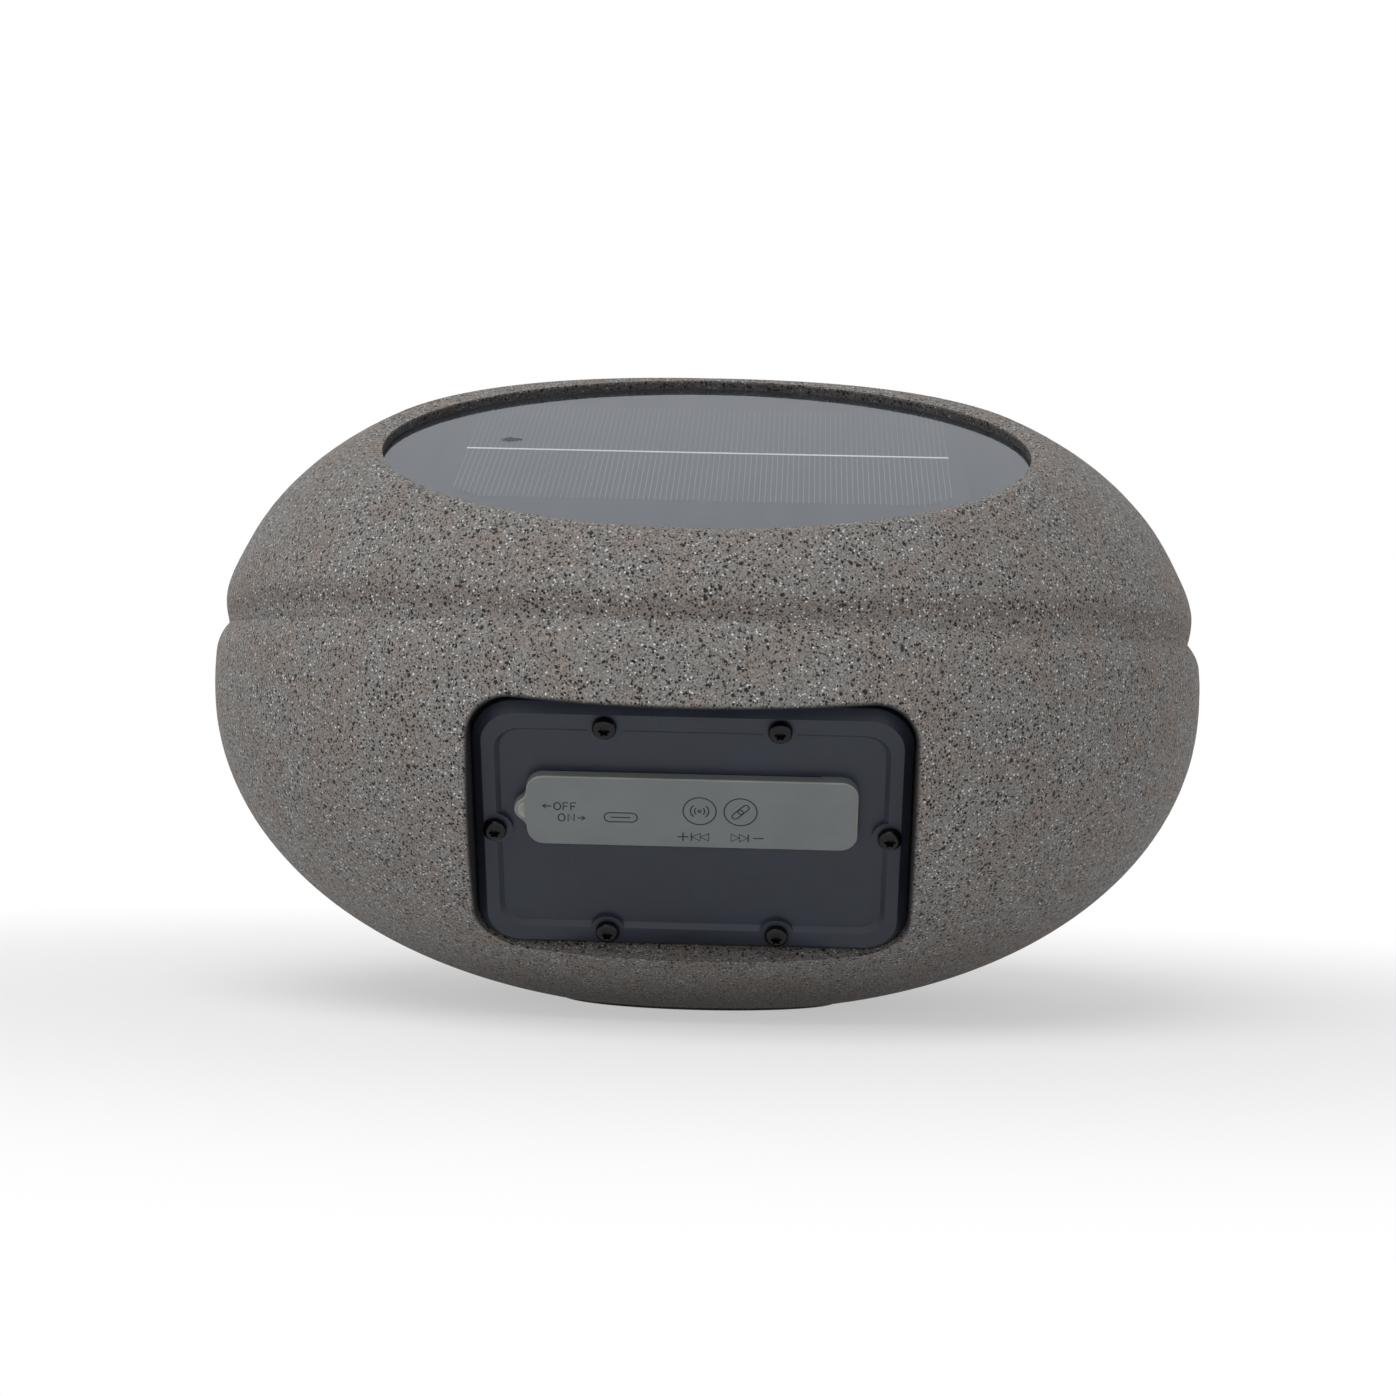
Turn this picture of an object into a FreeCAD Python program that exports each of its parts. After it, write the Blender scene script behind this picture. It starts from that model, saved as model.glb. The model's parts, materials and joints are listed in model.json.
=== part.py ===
import FreeCAD, Part
import math
import os

# Garden speaker in the shape of a pebble. Millimetres, +Z up, floor at z = 0 under the middle of the body.
# The control plate faces -Y, the loudspeaker looks out of the upper shell towards +Y.

V = FreeCAD.Vector
os.makedirs("parts", exist_ok=True)

# Body: a solid of revolution made of two superellipse quarters that meet at the equator
BODY_RADIUS = 125.0
LOWER_DEPTH = 80.8
LOWER_POWER = (2.04, 2.21)
UPPER_RISE = 81.6
UPPER_POWER = (2.27, 2.51)
WALL = 3.5
FLOOR_THICKNESS = 4.0

# Foot disc under the base, which is cut flat a little above the lowest point of the bowl
FOOT_RADIUS = 35.0
FOOT_PROUD = 0.8
FOOT_SUNK = 1.2
BASE_CUT = 2.9
BASE_Z = FOOT_PROUD
EQUATOR_Z = BASE_Z + LOWER_DEPTH - BASE_CUT

# Seam between the shells, in the bottom of a soft groove
SEAM_RISE = 14.3
SEAM_Z = EQUATOR_Z + SEAM_RISE
GROOVE_HALF = 7.2
GROOVE_DEPTH = 2.3
LIP_POWER = 1.3
SHOULDER_POWER = 2.2
FLANGE_WIDTH = 7.0
FLANGE_HEIGHT = 4.0
GASKET_WIDTH = 2.0
GASKET_HEIGHT = 1.6

# Posts and screws that hold the shells together
POST_RADIUS = 5.5
POST_INSET = 41.0
POST_CIRCLE = BODY_RADIUS - POST_INSET
POST_ANGLES = (45, 135, 225, 315)
SHELL_SCREW_RADIUS = 1.75
SHELL_SCREW_HEAD = (3.2, 2.4)
SHELL_SCREW_GAP = 0.5
SHELL_SCREW_SEAT = 9.0
SHELL_SCREW_REACH = 12.0
PLUG_DEPTH = 5.0
PLUG_SLACK = 0.02

# Sloping face for the solar panel
SLICE_TILT = 20.5
SLICE_DROP = 3.6
SLICE_Z = EQUATOR_Z + UPPER_RISE - SLICE_DROP
RIM_MARGIN = (4.0, 2.8)
RIM_FILLET = 1.8
COVER_BELOW_RIM = 1.9
COVER_THICKNESS = 1.8
BACKBOARD_THICKNESS = 1.6
SEAL_THICKNESS = 0.4
PANEL_GAP = 0.4
PANEL_FLOOR = 3.0
CELL_MARGIN = 19.5
CELL_EDGE_GAP = 3.2
CELL_RISE = 4.5
CELL_CORNER = 7.0
CELL_THICKNESS = 0.3
RIBBON_WIDTH = 1.0
RIBBON_THICKNESS = 0.15
BOND_LINE = 0.05
CELL_LEAD_AT = (-30.0, -20.0)

# Control plate in its window
PLATE_TILT = 34.0
PLATE_DROP = 33.1
PLATE_RECESS = 20.9
PLATE_SIZE = (99.0, 67.5)
PLATE_CORNER = 10.0
PLATE_THICKNESS = 3.0
PLATE_BEVEL = 2.1
PLATE_BORDER = (5.0, 6.0)
FIELD_SIZE = (PLATE_SIZE[0] - 2 * PLATE_BORDER[0], PLATE_SIZE[1] - 2 * PLATE_BORDER[1])
FIELD_DEPTH = 1.1
WINDOW_GAP = 0.5
WINDOW_HEADROOM = 2.8
WINDOW_WALL = 4.0
WINDOW_CUT_TILT = 16.5
SEAT_DEPTH = 6.0
SEAT_RIM = (9.5, 9.75)
SEAT_OPENING = (PLATE_SIZE[0] - 2 * SEAT_RIM[0], PLATE_SIZE[1] - 2 * SEAT_RIM[1])
SEAT_CORNER = 6.0
PLATE_GASKET_THICKNESS = 1.0
SCREW_INSET = (4.6, 5.15)
SCREW_PAIR_X = 19.6
SCREW_BITE = 5.0
SCREW_PAD_RADIUS = 4.0
SCREW_RADIUS = 1.5
SCREW_HEAD = (2.75, 2.0)

# Rubber flap over the switch, the socket and the buttons
FLAP_SIZE = (75.0, 18.8)
FLAP_AT = (0.0, 6.3)
FLAP_CORNER = 4.0
FLAP_GAP = 0.3
FLAP_THICKNESS = 2.3
FLAP_BOTTOM = FLAP_GAP - FIELD_DEPTH
FLAP_TOP = FLAP_BOTTOM + FLAP_THICKNESS
FLAP_EDGE = 0.5
FLAP_DIMPLE = 1.2
FLAP_PLUG = (1.5, 5.0)
FLAP_PLUG_PROUD = 0.6
FLAP_TAB_RADIUS = 2.8
FLAP_ANCHOR_LENGTH = 8.5
FLAP_SPLIT = 0.3

# Control board behind the plate and what stands on it
BOARD_MARGIN = 1.5
BOARD_SIZE = (SEAT_OPENING[0] - 2 * BOARD_MARGIN, SEAT_OPENING[1] - 2 * BOARD_MARGIN, 1.6)
BOARD_GAP = 10.4
BOARD_FRONT = -PLATE_THICKNESS - BOARD_GAP
BOARD_BACK = BOARD_FRONT - BOARD_SIZE[2]
STANDOFF_INSET = 4.5
STANDOFF_AT = (BOARD_SIZE[0] / 2 - STANDOFF_INSET, BOARD_SIZE[1] / 2 - STANDOFF_INSET)
STANDOFF_RADIUS = 3.0
BOARD_SCREW_RADIUS = 1.25
SWITCH_X = -29.0
SWITCH_TRAVEL = 4.0
SWITCH_HEIGHT = 4.6
SWITCH_STEM = (2.0, 1.7)
SWITCH_STEM_GAP = 0.35
KNOB_SIZE = (3.8, 2.8)
KNOB_GAP = 0.4
KNOB_SINK = 1.2
SLOT_CORNER = 0.8
SOCKET_X = -16.5
SOCKET_SIZE = (8.9, 3.2)
SOCKET_WALL = 0.3
SOCKET_GAP = 0.35
SOCKET_SINK = 1.0
BUTTON_X = (1.8, 11.3)
BUTTON_RADIUS = 3.0
BUTTON_GAP = 0.3
BUTTON_SINK = 1.2
BUTTON_FLANGE = 1.5
BUTTON_TRAVEL = 0.5
BUTTON_SWITCH = (6.0, 4.3, 0.9)
CONNECTOR_X = (-30.0, 0.0, 28.0)
CONNECTOR_Y = 12.0
CONNECTOR_SIZE = (8.0, 5.0, 6.0)

# Loudspeaker behind the front grille
DRIVER_RISE = 55.3
DRIVER_Z = EQUATOR_Z + DRIVER_RISE
GRILLE_RADIUS = 30.0
GRILLE_GAP = 0.3
GRILLE_SURROUND = 6.0
GRILLE_EDGE = 3.2
GRILLE_DEPTH = 7.0
GRILLE_THICKNESS = 1.2
GRILLE_HOLE = 3.2
GRILLE_PITCH = 4.9
CLOTH_THICKNESS = 0.4
BAFFLE_THICKNESS = 5.0
BAFFLE_OPENING = 25.5
DRIVER_GASKET = 0.8
BASKET_RADIUS = 32.0
BASKET_GAP = 0.5
BASKET_DEPTH = 16.2
BASKET_FLANGE = 1.8
DRIVER_SCREW_CIRCLE = 29.0

# Battery on the floor of the lower shell
PACK_SIZE = (68.0, 37.4, 18.6)
STRAP_WIDTH = 16.0
STRAP_THICKNESS = 1.5
STRAP_GAP = 0.2
STRAP_SCREW_OUT = 6.8
STRAP_SCREW_Y = PACK_SIZE[1] / 2 + STRAP_SCREW_OUT
STRAP_BOSS_RADIUS = 4.2
STRAP_BOSS_HEIGHT = 5.0

LEAD_RADIUS = 1.1
LEAD_BEND = 6.0


# Shape helpers

def save(name, *solids):
    shape = solids[0] if len(solids) == 1 else Part.makeCompound(list(solids))
    shape.exportStep("parts/" + name + ".step")


def disc(radius, z0, z1, x=0.0, y=0.0):
    return Part.makeCylinder(radius, z1 - z0, V(x, y, z0))


def tube(outer, inner, z0, z1, x=0.0, y=0.0):
    return disc(outer, z0, z1, x, y).cut(disc(inner, z0 - 1, z1 + 1, x, y))


def box(size_x, size_y, z0, z1, x=0.0, y=0.0):
    return Part.makeBox(size_x, size_y, z1 - z0, V(x - size_x / 2, y - size_y / 2, z0))


def rounded_wire(size_x, size_y, radius, z, x=0.0, y=0.0):
    """Closed outline of a rectangle with round corners, centred on x, y."""
    a, b = size_x / 2, size_y / 2
    k = radius * (1 - math.sqrt(0.5))
    edges = []
    for sx, sy in ((1, 1), (-1, 1), (-1, -1), (1, -1)):
        first = V(x + sx * a, y + sy * (b - radius), z)
        middle = V(x + sx * (a - k), y + sy * (b - k), z)
        last = V(x + sx * (a - radius), y + sy * b, z)
        if sx * sy < 0:
            first, last = last, first
        edges.append((first, middle, last))
    parts = []
    for here, after in zip(edges, edges[1:] + edges[:1]):
        parts.append(Part.Arc(*here).toShape())
        if (here[2] - after[0]).Length > 1e-6:
            parts.append(Part.makeLine(here[2], after[0]))
    return Part.Wire(parts)


def rounded_plate(size_x, size_y, radius, z0, z1, x=0.0, y=0.0):
    return Part.Face(rounded_wire(size_x, size_y, radius, z0, x, y)).extrude(V(0, 0, z1 - z0))


def oval(semi_x, semi_y, z0, z1):
    edge = Part.Ellipse(V(0, 0, z0), semi_x, semi_y).toShape()
    return Part.Face(Part.Wire([edge])).extrude(V(0, 0, z1 - z0))


def spline(points):
    curve = Part.BSplineCurve()
    curve.interpolate([V(r, 0, z) for r, z in points])
    return curve.toShape()


def turned(*edges):
    """Solid of revolution about Z of a closed profile in the XZ plane."""
    solid = Part.Face(Part.Wire(list(edges))).revolve(V(0, 0, 0), V(0, 0, 1), 360)
    return solid if solid.Volume > 0 else solid.reversed()


def turned_outline(points):
    return turned(Part.makePolygon([V(r, 0, z) for r, z in points + points[:1]]))


def line(first, last):
    return Part.makeLine(V(first[0], 0, first[1]), V(last[0], 0, last[1]))


def placed(shape, frame):
    copy = shape.copy()
    copy.Placement = frame.multiply(copy.Placement)
    return copy


def pan_screw(length, x, y, z):
    """Screw along Z with its head's seat at z and a six-lobed recess in the head."""
    head_radius, head_height = SCREW_HEAD
    head = disc(head_radius, z, z + head_height, x, y)
    top = z + head_height
    rim = [e for e in head.Edges if e.BoundBox.ZMin > top - 1e-6]
    head = head.makeFillet(head_height * 0.6, rim)
    recess = disc(head_radius * 0.36, top - 1.1, top + 1, x, y)
    for i in range(6):
        a = math.radians(60 * i)
        lobe_x = x + head_radius * 0.36 * math.cos(a)
        lobe_y = y + head_radius * 0.36 * math.sin(a)
        recess = recess.fuse(disc(head_radius * 0.12, top - 1.1, top + 1, lobe_x, lobe_y))
    return head.cut(recess).fuse(disc(SCREW_RADIUS, z - length, z, x, y)).removeSplitter()


def lead(points):
    """Round lead along straight runs joined by tangent arcs."""
    edges = []
    at = points[0]
    for before, corner, after in zip(points, points[1:], points[2:]):
        back = (before - corner).normalize()
        ahead = (after - corner).normalize()
        half = math.acos(max(-1.0, min(1.0, back.dot(ahead)))) / 2
        reach = LEAD_BEND / math.tan(half)
        start, end = corner + back * reach, corner + ahead * reach
        middle_way = (back + ahead).normalize()
        middle = corner + middle_way * (LEAD_BEND / math.sin(half) - LEAD_BEND)
        edges.append(Part.makeLine(at, start))
        edges.append(Part.Arc(start, middle, end).toShape())
        at = end
    edges.append(Part.makeLine(at, points[-1]))
    path = Part.Wire(edges)
    circle = Part.Circle(points[0], points[1] - points[0], LEAD_RADIUS).toShape()
    return path.makePipeShell([Part.Wire([circle])], True, False)


# Body outline

def superellipse(radius, height, power, level):
    share = min(max(level / height, 0.0), 1.0)
    return radius * max(1 - share ** power[0], 0.0) ** (1 / power[1])


def body_radius(z, inset=0.0):
    """Radius of the body at height z, or of a surface lying inset inside it."""
    if z < EQUATOR_Z:
        return superellipse(BODY_RADIUS - inset, LOWER_DEPTH - inset, LOWER_POWER, EQUATOR_Z - z)
    return superellipse(BODY_RADIUS - inset, UPPER_RISE - inset, UPPER_POWER, z - EQUATOR_Z)


def groove(z):
    """Depth of the groove at height z: nearly straight under the upper lip, round at the lower shoulder."""
    offset = abs(z - SEAM_Z) / GROOVE_HALF
    power = LIP_POWER if z > SEAM_Z else SHOULDER_POWER
    return GROOVE_DEPTH * (1 - offset) ** power if offset < 1 else 0.0


def lower_points(bottom, top, inset):
    first = math.asin((EQUATOR_Z - bottom) / (LOWER_DEPTH - inset))
    heights = [EQUATOR_Z - (LOWER_DEPTH - inset) * math.sin(first * (1 - i / 9)) for i in range(10)]
    return [(body_radius(z, inset), z) for z in heights + [top]]


def upper_points(bottom, inset):
    first = math.asin((bottom - EQUATOR_Z) / (UPPER_RISE - inset))
    angles = [first + (math.pi / 2 - first) * i / 10 for i in range(10)]
    heights = [EQUATOR_Z + (UPPER_RISE - inset) * math.sin(angle) for angle in angles]
    return [(body_radius(z, inset), z) for z in heights] + [(0.0, EQUATOR_Z + UPPER_RISE - inset)]


def groove_points(side):
    heights = [SEAM_Z + side * GROOVE_HALF * k for k in (0.8, 0.6, 0.4, 0.2)]
    return [(body_radius(z) - groove(z), z) for z in heights + [SEAM_Z]]


def bisect(function, low, high):
    for _ in range(60):
        middle = (low + high) / 2
        if (function(low) > 0) == (function(middle) > 0):
            low = middle
        else:
            high = middle
    return (low + high) / 2


# The sloping face: where it meets the body, and the oval that fits inside it

SLOPE = math.tan(math.radians(SLICE_TILT))


def rim_gap(y):
    return body_radius(SLICE_Z + SLOPE * y) - abs(y)


RIM_NEAR = bisect(rim_gap, -BODY_RADIUS, -BODY_RADIUS / 2)
RIM_FAR = bisect(rim_gap, 0.0, BODY_RADIUS / 2)
RIM_Y = (RIM_NEAR + RIM_FAR) / 2
RIM_Z = SLICE_Z + SLOPE * RIM_Y
RIM_HALF_X = math.sqrt(body_radius(RIM_Z) ** 2 - RIM_Y ** 2)
RIM_HALF_Y = (RIM_FAR - RIM_NEAR) / 2 / math.cos(math.radians(SLICE_TILT))
OVAL_X = RIM_HALF_X - RIM_MARGIN[0]
OVAL_Y = RIM_HALF_Y - RIM_MARGIN[1]
CELL_HALF_X = OVAL_X - CELL_MARGIN
CELL_REACH = (CELL_HALF_X - CELL_CORNER) / (OVAL_X - CELL_EDGE_GAP)
CELL_HALF_Y = (OVAL_Y - CELL_EDGE_GAP) * math.sqrt(1 - CELL_REACH ** 2) - CELL_RISE
RECESS_DEPTH = COVER_BELOW_RIM + COVER_THICKNESS + BACKBOARD_THICKNESS + SEAL_THICKNESS
SOLAR = FreeCAD.Placement(V(0, RIM_Y, RIM_Z), FreeCAD.Rotation(V(1, 0, 0), SLICE_TILT))
PLATE_Z = EQUATOR_Z - PLATE_DROP
PLATE_Y = PLATE_RECESS - body_radius(PLATE_Z)
PLATE = FreeCAD.Placement(V(0, PLATE_Y, PLATE_Z), FreeCAD.Rotation(V(1, 0, 0), 90 + PLATE_TILT))
SCREW_X = PLATE_SIZE[0] / 2 - SCREW_INSET[0]
SCREW_Y = PLATE_SIZE[1] / 2 - SCREW_INSET[1]
PLATE_SCREWS = [(sx * SCREW_PAIR_X, sy * SCREW_Y) for sy in (1, -1) for sx in (-1, 1)]
PLATE_SCREWS += [(-SCREW_X, 0.0), (SCREW_X, 0.0)]
DRIVER_FALL = (body_radius(DRIVER_Z + 5) - body_radius(DRIVER_Z - 5)) / 10
DRIVER_TILT = math.degrees(math.atan(-DRIVER_FALL))
DRIVER_TURN = FreeCAD.Rotation(V(1, 0, 0), DRIVER_TILT - 90)
DRIVER = FreeCAD.Placement(V(0, body_radius(DRIVER_Z), DRIVER_Z), DRIVER_TURN)
FLANGE_OUTER = body_radius(SEAM_Z, WALL)
BAFFLE_FRONT = -GRILLE_DEPTH - GRILLE_THICKNESS - CLOTH_THICKNESS
BAFFLE_BACK = BAFFLE_FRONT - BAFFLE_THICKNESS
FLANGE_FRONT = BAFFLE_BACK - DRIVER_GASKET
FLANGE_BACK = FLANGE_FRONT - BASKET_FLANGE


def on_circle(radius, angles):
    return [(radius * math.cos(math.radians(a)), radius * math.sin(math.radians(a))) for a in angles]


POSTS = on_circle(POST_CIRCLE, POST_ANGLES)
DRIVER_SCREWS = on_circle(DRIVER_SCREW_CIRCLE, (45, 135, 225, 315))


def above_slice(drop):
    """Everything above the sloping face lowered by drop."""
    return placed(box(4 * BODY_RADIUS, 4 * BODY_RADIUS, -drop, 2 * BODY_RADIUS), SOLAR)


def lower_outer():
    base = body_radius(BASE_Z)
    outline = lower_points(BASE_Z, SEAM_Z - GROOVE_HALF, 0.0) + groove_points(-1)
    floor, top = (0, BASE_Z), (0, SEAM_Z)
    closing = [line(outline[-1], top), line(top, floor)]
    return turned(line(floor, (base, BASE_Z)), spline(outline), *closing)


def lower_cavity():
    floor = BASE_Z + FLOOR_THICKNESS
    outline = lower_points(floor, SEAM_Z, WALL)
    return turned(line((0, floor), outline[0]), spline(outline), line(outline[-1], (0, SEAM_Z)),
                  line((0, SEAM_Z), (0, floor)))


def upper_outer():
    rise = groove_points(1)
    outline = rise[::-1] + upper_points(SEAM_Z + GROOVE_HALF, 0.0)
    dome = turned(line((0, SEAM_Z), outline[0]), spline(outline), line(outline[-1], (0, SEAM_Z)))
    dome = dome.cut(above_slice(0.0))
    normal = SOLAR.Rotation.multVec(V(0, 0, 1))
    rim = []
    for edge in dome.Edges:
        span = edge.LastParameter - edge.FirstParameter
        points = [edge.valueAt(edge.FirstParameter + span * share) for share in (0.1, 0.5, 0.9)]
        if all(abs((p - SOLAR.Base).dot(normal)) < 1e-4 for p in points):
            rim.append(edge)
    return dome.makeFillet(RIM_FILLET, rim)


def upper_cavity():
    outline = upper_points(SEAM_Z, WALL)
    dome = turned(line((0, SEAM_Z), outline[0]), spline(outline), line(outline[-1], (0, SEAM_Z)))
    return dome.cut(above_slice(RECESS_DEPTH + PANEL_FLOOR))


# Shells

def window_prism(grow, start, reach):
    """The window's outline grown sideways: along the plate's axis behind the plate, near level before it."""
    size = (PLATE_SIZE[0] + 2 * grow, PLATE_SIZE[1] + 2 * grow + WINDOW_HEADROOM)
    middle = WINDOW_HEADROOM / 2
    back = rounded_plate(size[0], size[1], PLATE_CORNER + grow, start, 0, 0, middle)
    lean = math.radians(PLATE_TILT - WINDOW_CUT_TILT)
    face = Part.Face(rounded_wire(size[0], size[1], PLATE_CORNER + grow, 0.0, 0, middle))
    front = face.extrude(V(0, reach * math.sin(lean), reach * math.cos(lean)))
    return placed(back.fuse(front), PLATE)


def lower_shell():
    outer = lower_outer()
    shell = outer.cut(lower_cavity())
    flange = tube(FLANGE_OUTER + 1, FLANGE_OUTER - FLANGE_WIDTH, SEAM_Z - FLANGE_HEIGHT, SEAM_Z)
    seat_back = -PLATE_THICKNESS - PLATE_GASKET_THICKNESS - SEAT_DEPTH
    added = [flange, window_prism(WINDOW_GAP + WINDOW_WALL, seat_back, 60).common(outer)]
    added += [disc(POST_RADIUS, 0, SEAM_Z, x, y).common(outer) for x, y in POSTS]
    boss_top = BASE_Z + FLOOR_THICKNESS + STRAP_BOSS_HEIGHT
    boss_root = BASE_Z + FLOOR_THICKNESS / 4
    added += [disc(STRAP_BOSS_RADIUS, boss_root, boss_top, 0, side * STRAP_SCREW_Y) for side in (-1, 1)]
    shell = shell.fuse(added)
    seat = -PLATE_THICKNESS - PLATE_GASKET_THICKNESS
    cuts = [window_prism(WINDOW_GAP, seat, 80)]
    opening = rounded_plate(SEAT_OPENING[0], SEAT_OPENING[1], SEAT_CORNER, seat_back - 40, 0)
    cuts.append(placed(opening, PLATE))
    for x, y in PLATE_SCREWS:
        cuts.append(placed(disc(SCREW_RADIUS, seat - SCREW_BITE - 0.5, 0, x, y), PLATE))
    for x, y in POSTS:
        cuts.append(disc(SHELL_SCREW_HEAD[0] + SHELL_SCREW_GAP, -1, SEAM_Z - SHELL_SCREW_SEAT, x, y))
        cuts.append(disc(SHELL_SCREW_RADIUS + 0.2, 0, SEAM_Z + 1, x, y))
    for side in (-1, 1):
        cuts.append(disc(SCREW_RADIUS, boss_top - 6, boss_top + 1, 0, side * STRAP_SCREW_Y))
    cuts.append(disc(FOOT_RADIUS + 0.2, -1, BASE_Z + FOOT_SUNK))
    cuts.append(gasket_ring(0.0))
    return shell.cut(cuts).removeSplitter()


def gasket_ring(slack):
    outer = FLANGE_OUTER - (FLANGE_WIDTH - GASKET_WIDTH) / 2
    return tube(outer - slack, outer - GASKET_WIDTH + slack, SEAM_Z - GASKET_HEIGHT, SEAM_Z)


def upper_shell():
    outer = upper_outer()
    shell = outer.cut(upper_cavity())
    flange = tube(FLANGE_OUTER + 1, FLANGE_OUTER - FLANGE_WIDTH, SEAM_Z, SEAM_Z + FLANGE_HEIGHT)
    added = [flange]
    added += [disc(POST_RADIUS, SEAM_Z, SEAM_Z + UPPER_RISE, x, y).common(outer) for x, y in POSTS]
    added.append(placed(disc(GRILLE_RADIUS + GRILLE_SURROUND, BAFFLE_BACK, 20), DRIVER).common(outer))
    shell = shell.fuse(added)
    cuts = [placed(oval(OVAL_X, OVAL_Y, -RECESS_DEPTH, 20), SOLAR)]
    cuts.append(placed(disc(GRILLE_RADIUS, BAFFLE_FRONT, 30), DRIVER))
    cuts.append(placed(disc(BAFFLE_OPENING, BAFFLE_BACK - 1, 0), DRIVER))
    cuts.append(placed(disc(BASKET_RADIUS + BASKET_GAP, FLANGE_BACK - BASKET_DEPTH / 2, BAFFLE_BACK), DRIVER))
    cuts.append(placed(disc(5.0, -RECESS_DEPTH - 6, -1, CELL_LEAD_AT[0], CELL_LEAD_AT[1]), SOLAR))
    for x, y in POSTS:
        cuts.append(disc(SHELL_SCREW_RADIUS, SEAM_Z - 1, SEAM_Z + SHELL_SCREW_REACH + 2, x, y))
    for x, y in DRIVER_SCREWS:
        cuts.append(placed(disc(SCREW_RADIUS, BAFFLE_BACK - 1, BAFFLE_FRONT - 1, x, y), DRIVER))
    return shell.cut(cuts).removeSplitter()


def shell_screws():
    seat = SEAM_Z - SHELL_SCREW_SEAT
    head_radius, head_height = SHELL_SCREW_HEAD
    low, deep = seat - head_height - 1, seat - head_height / 2
    screws = []
    for x, y in POSTS:
        head = disc(head_radius, seat - head_height, seat, x, y)
        shank = disc(SHELL_SCREW_RADIUS, seat, SEAM_Z + SHELL_SCREW_REACH, x, y)
        slots = box(4, 1, low, deep, x, y).fuse(box(1, 4, low, deep, x, y))
        screws.append(head.fuse(shank).cut(slots).removeSplitter())
    return screws


def screw_plugs():
    """Plugs pressed into the mouths of the screw wells, flush with the bowl."""
    radius = SHELL_SCREW_HEAD[0] + SHELL_SCREW_GAP - PLUG_SLACK
    mouth = bisect(lambda z: body_radius(z) - POST_CIRCLE - radius, BASE_Z, EQUATOR_Z)
    outer = lower_outer()
    return [disc(radius, 0, mouth + PLUG_DEPTH, x, y).common(outer) for x, y in POSTS]


# Solar panel

def solar_parts():
    seal_z = -RECESS_DEPTH
    board_z = seal_z + SEAL_THICKNESS
    cell_z = board_z + BACKBOARD_THICKNESS
    ribbon_z = cell_z + CELL_THICKNESS
    top = -COVER_BELOW_RIM
    a, b = OVAL_X - PANEL_GAP, OVAL_Y - PANEL_GAP
    seal = oval(a, b, seal_z, board_z).cut(oval(a - 7, b - 7, seal_z - 1, board_z + 1))
    backboard = oval(a, b, board_z, cell_z)
    x, y, c = CELL_HALF_X, CELL_HALF_Y, CELL_CORNER
    right = [(x - c, y), (x, y - c), (x, c - y), (x - c, -y)]
    corners = right + [(-px, -py) for px, py in right]
    outline = Part.makePolygon([V(px, py + CELL_RISE, cell_z) for px, py in corners + corners[:1]])
    cell = Part.Face(outline).extrude(V(0, 0, CELL_THICKNESS))
    ribbon = box(2 * CELL_HALF_X, RIBBON_WIDTH, ribbon_z, ribbon_z + RIBBON_THICKNESS, 0, CELL_RISE)
    pocket = Part.Face(outline).extrude(V(0, 0, CELL_THICKNESS + RIBBON_THICKNESS + BOND_LINE))
    cover = oval(a, b, cell_z, top).cut(pocket)
    named = {"solar_seal": seal, "solar_backboard": backboard, "solar_cell": cell, "cell_ribbon": ribbon,
             "solar_cover": cover}
    for name, shape in named.items():
        save(name, placed(shape, SOLAR))


# Controls

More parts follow.
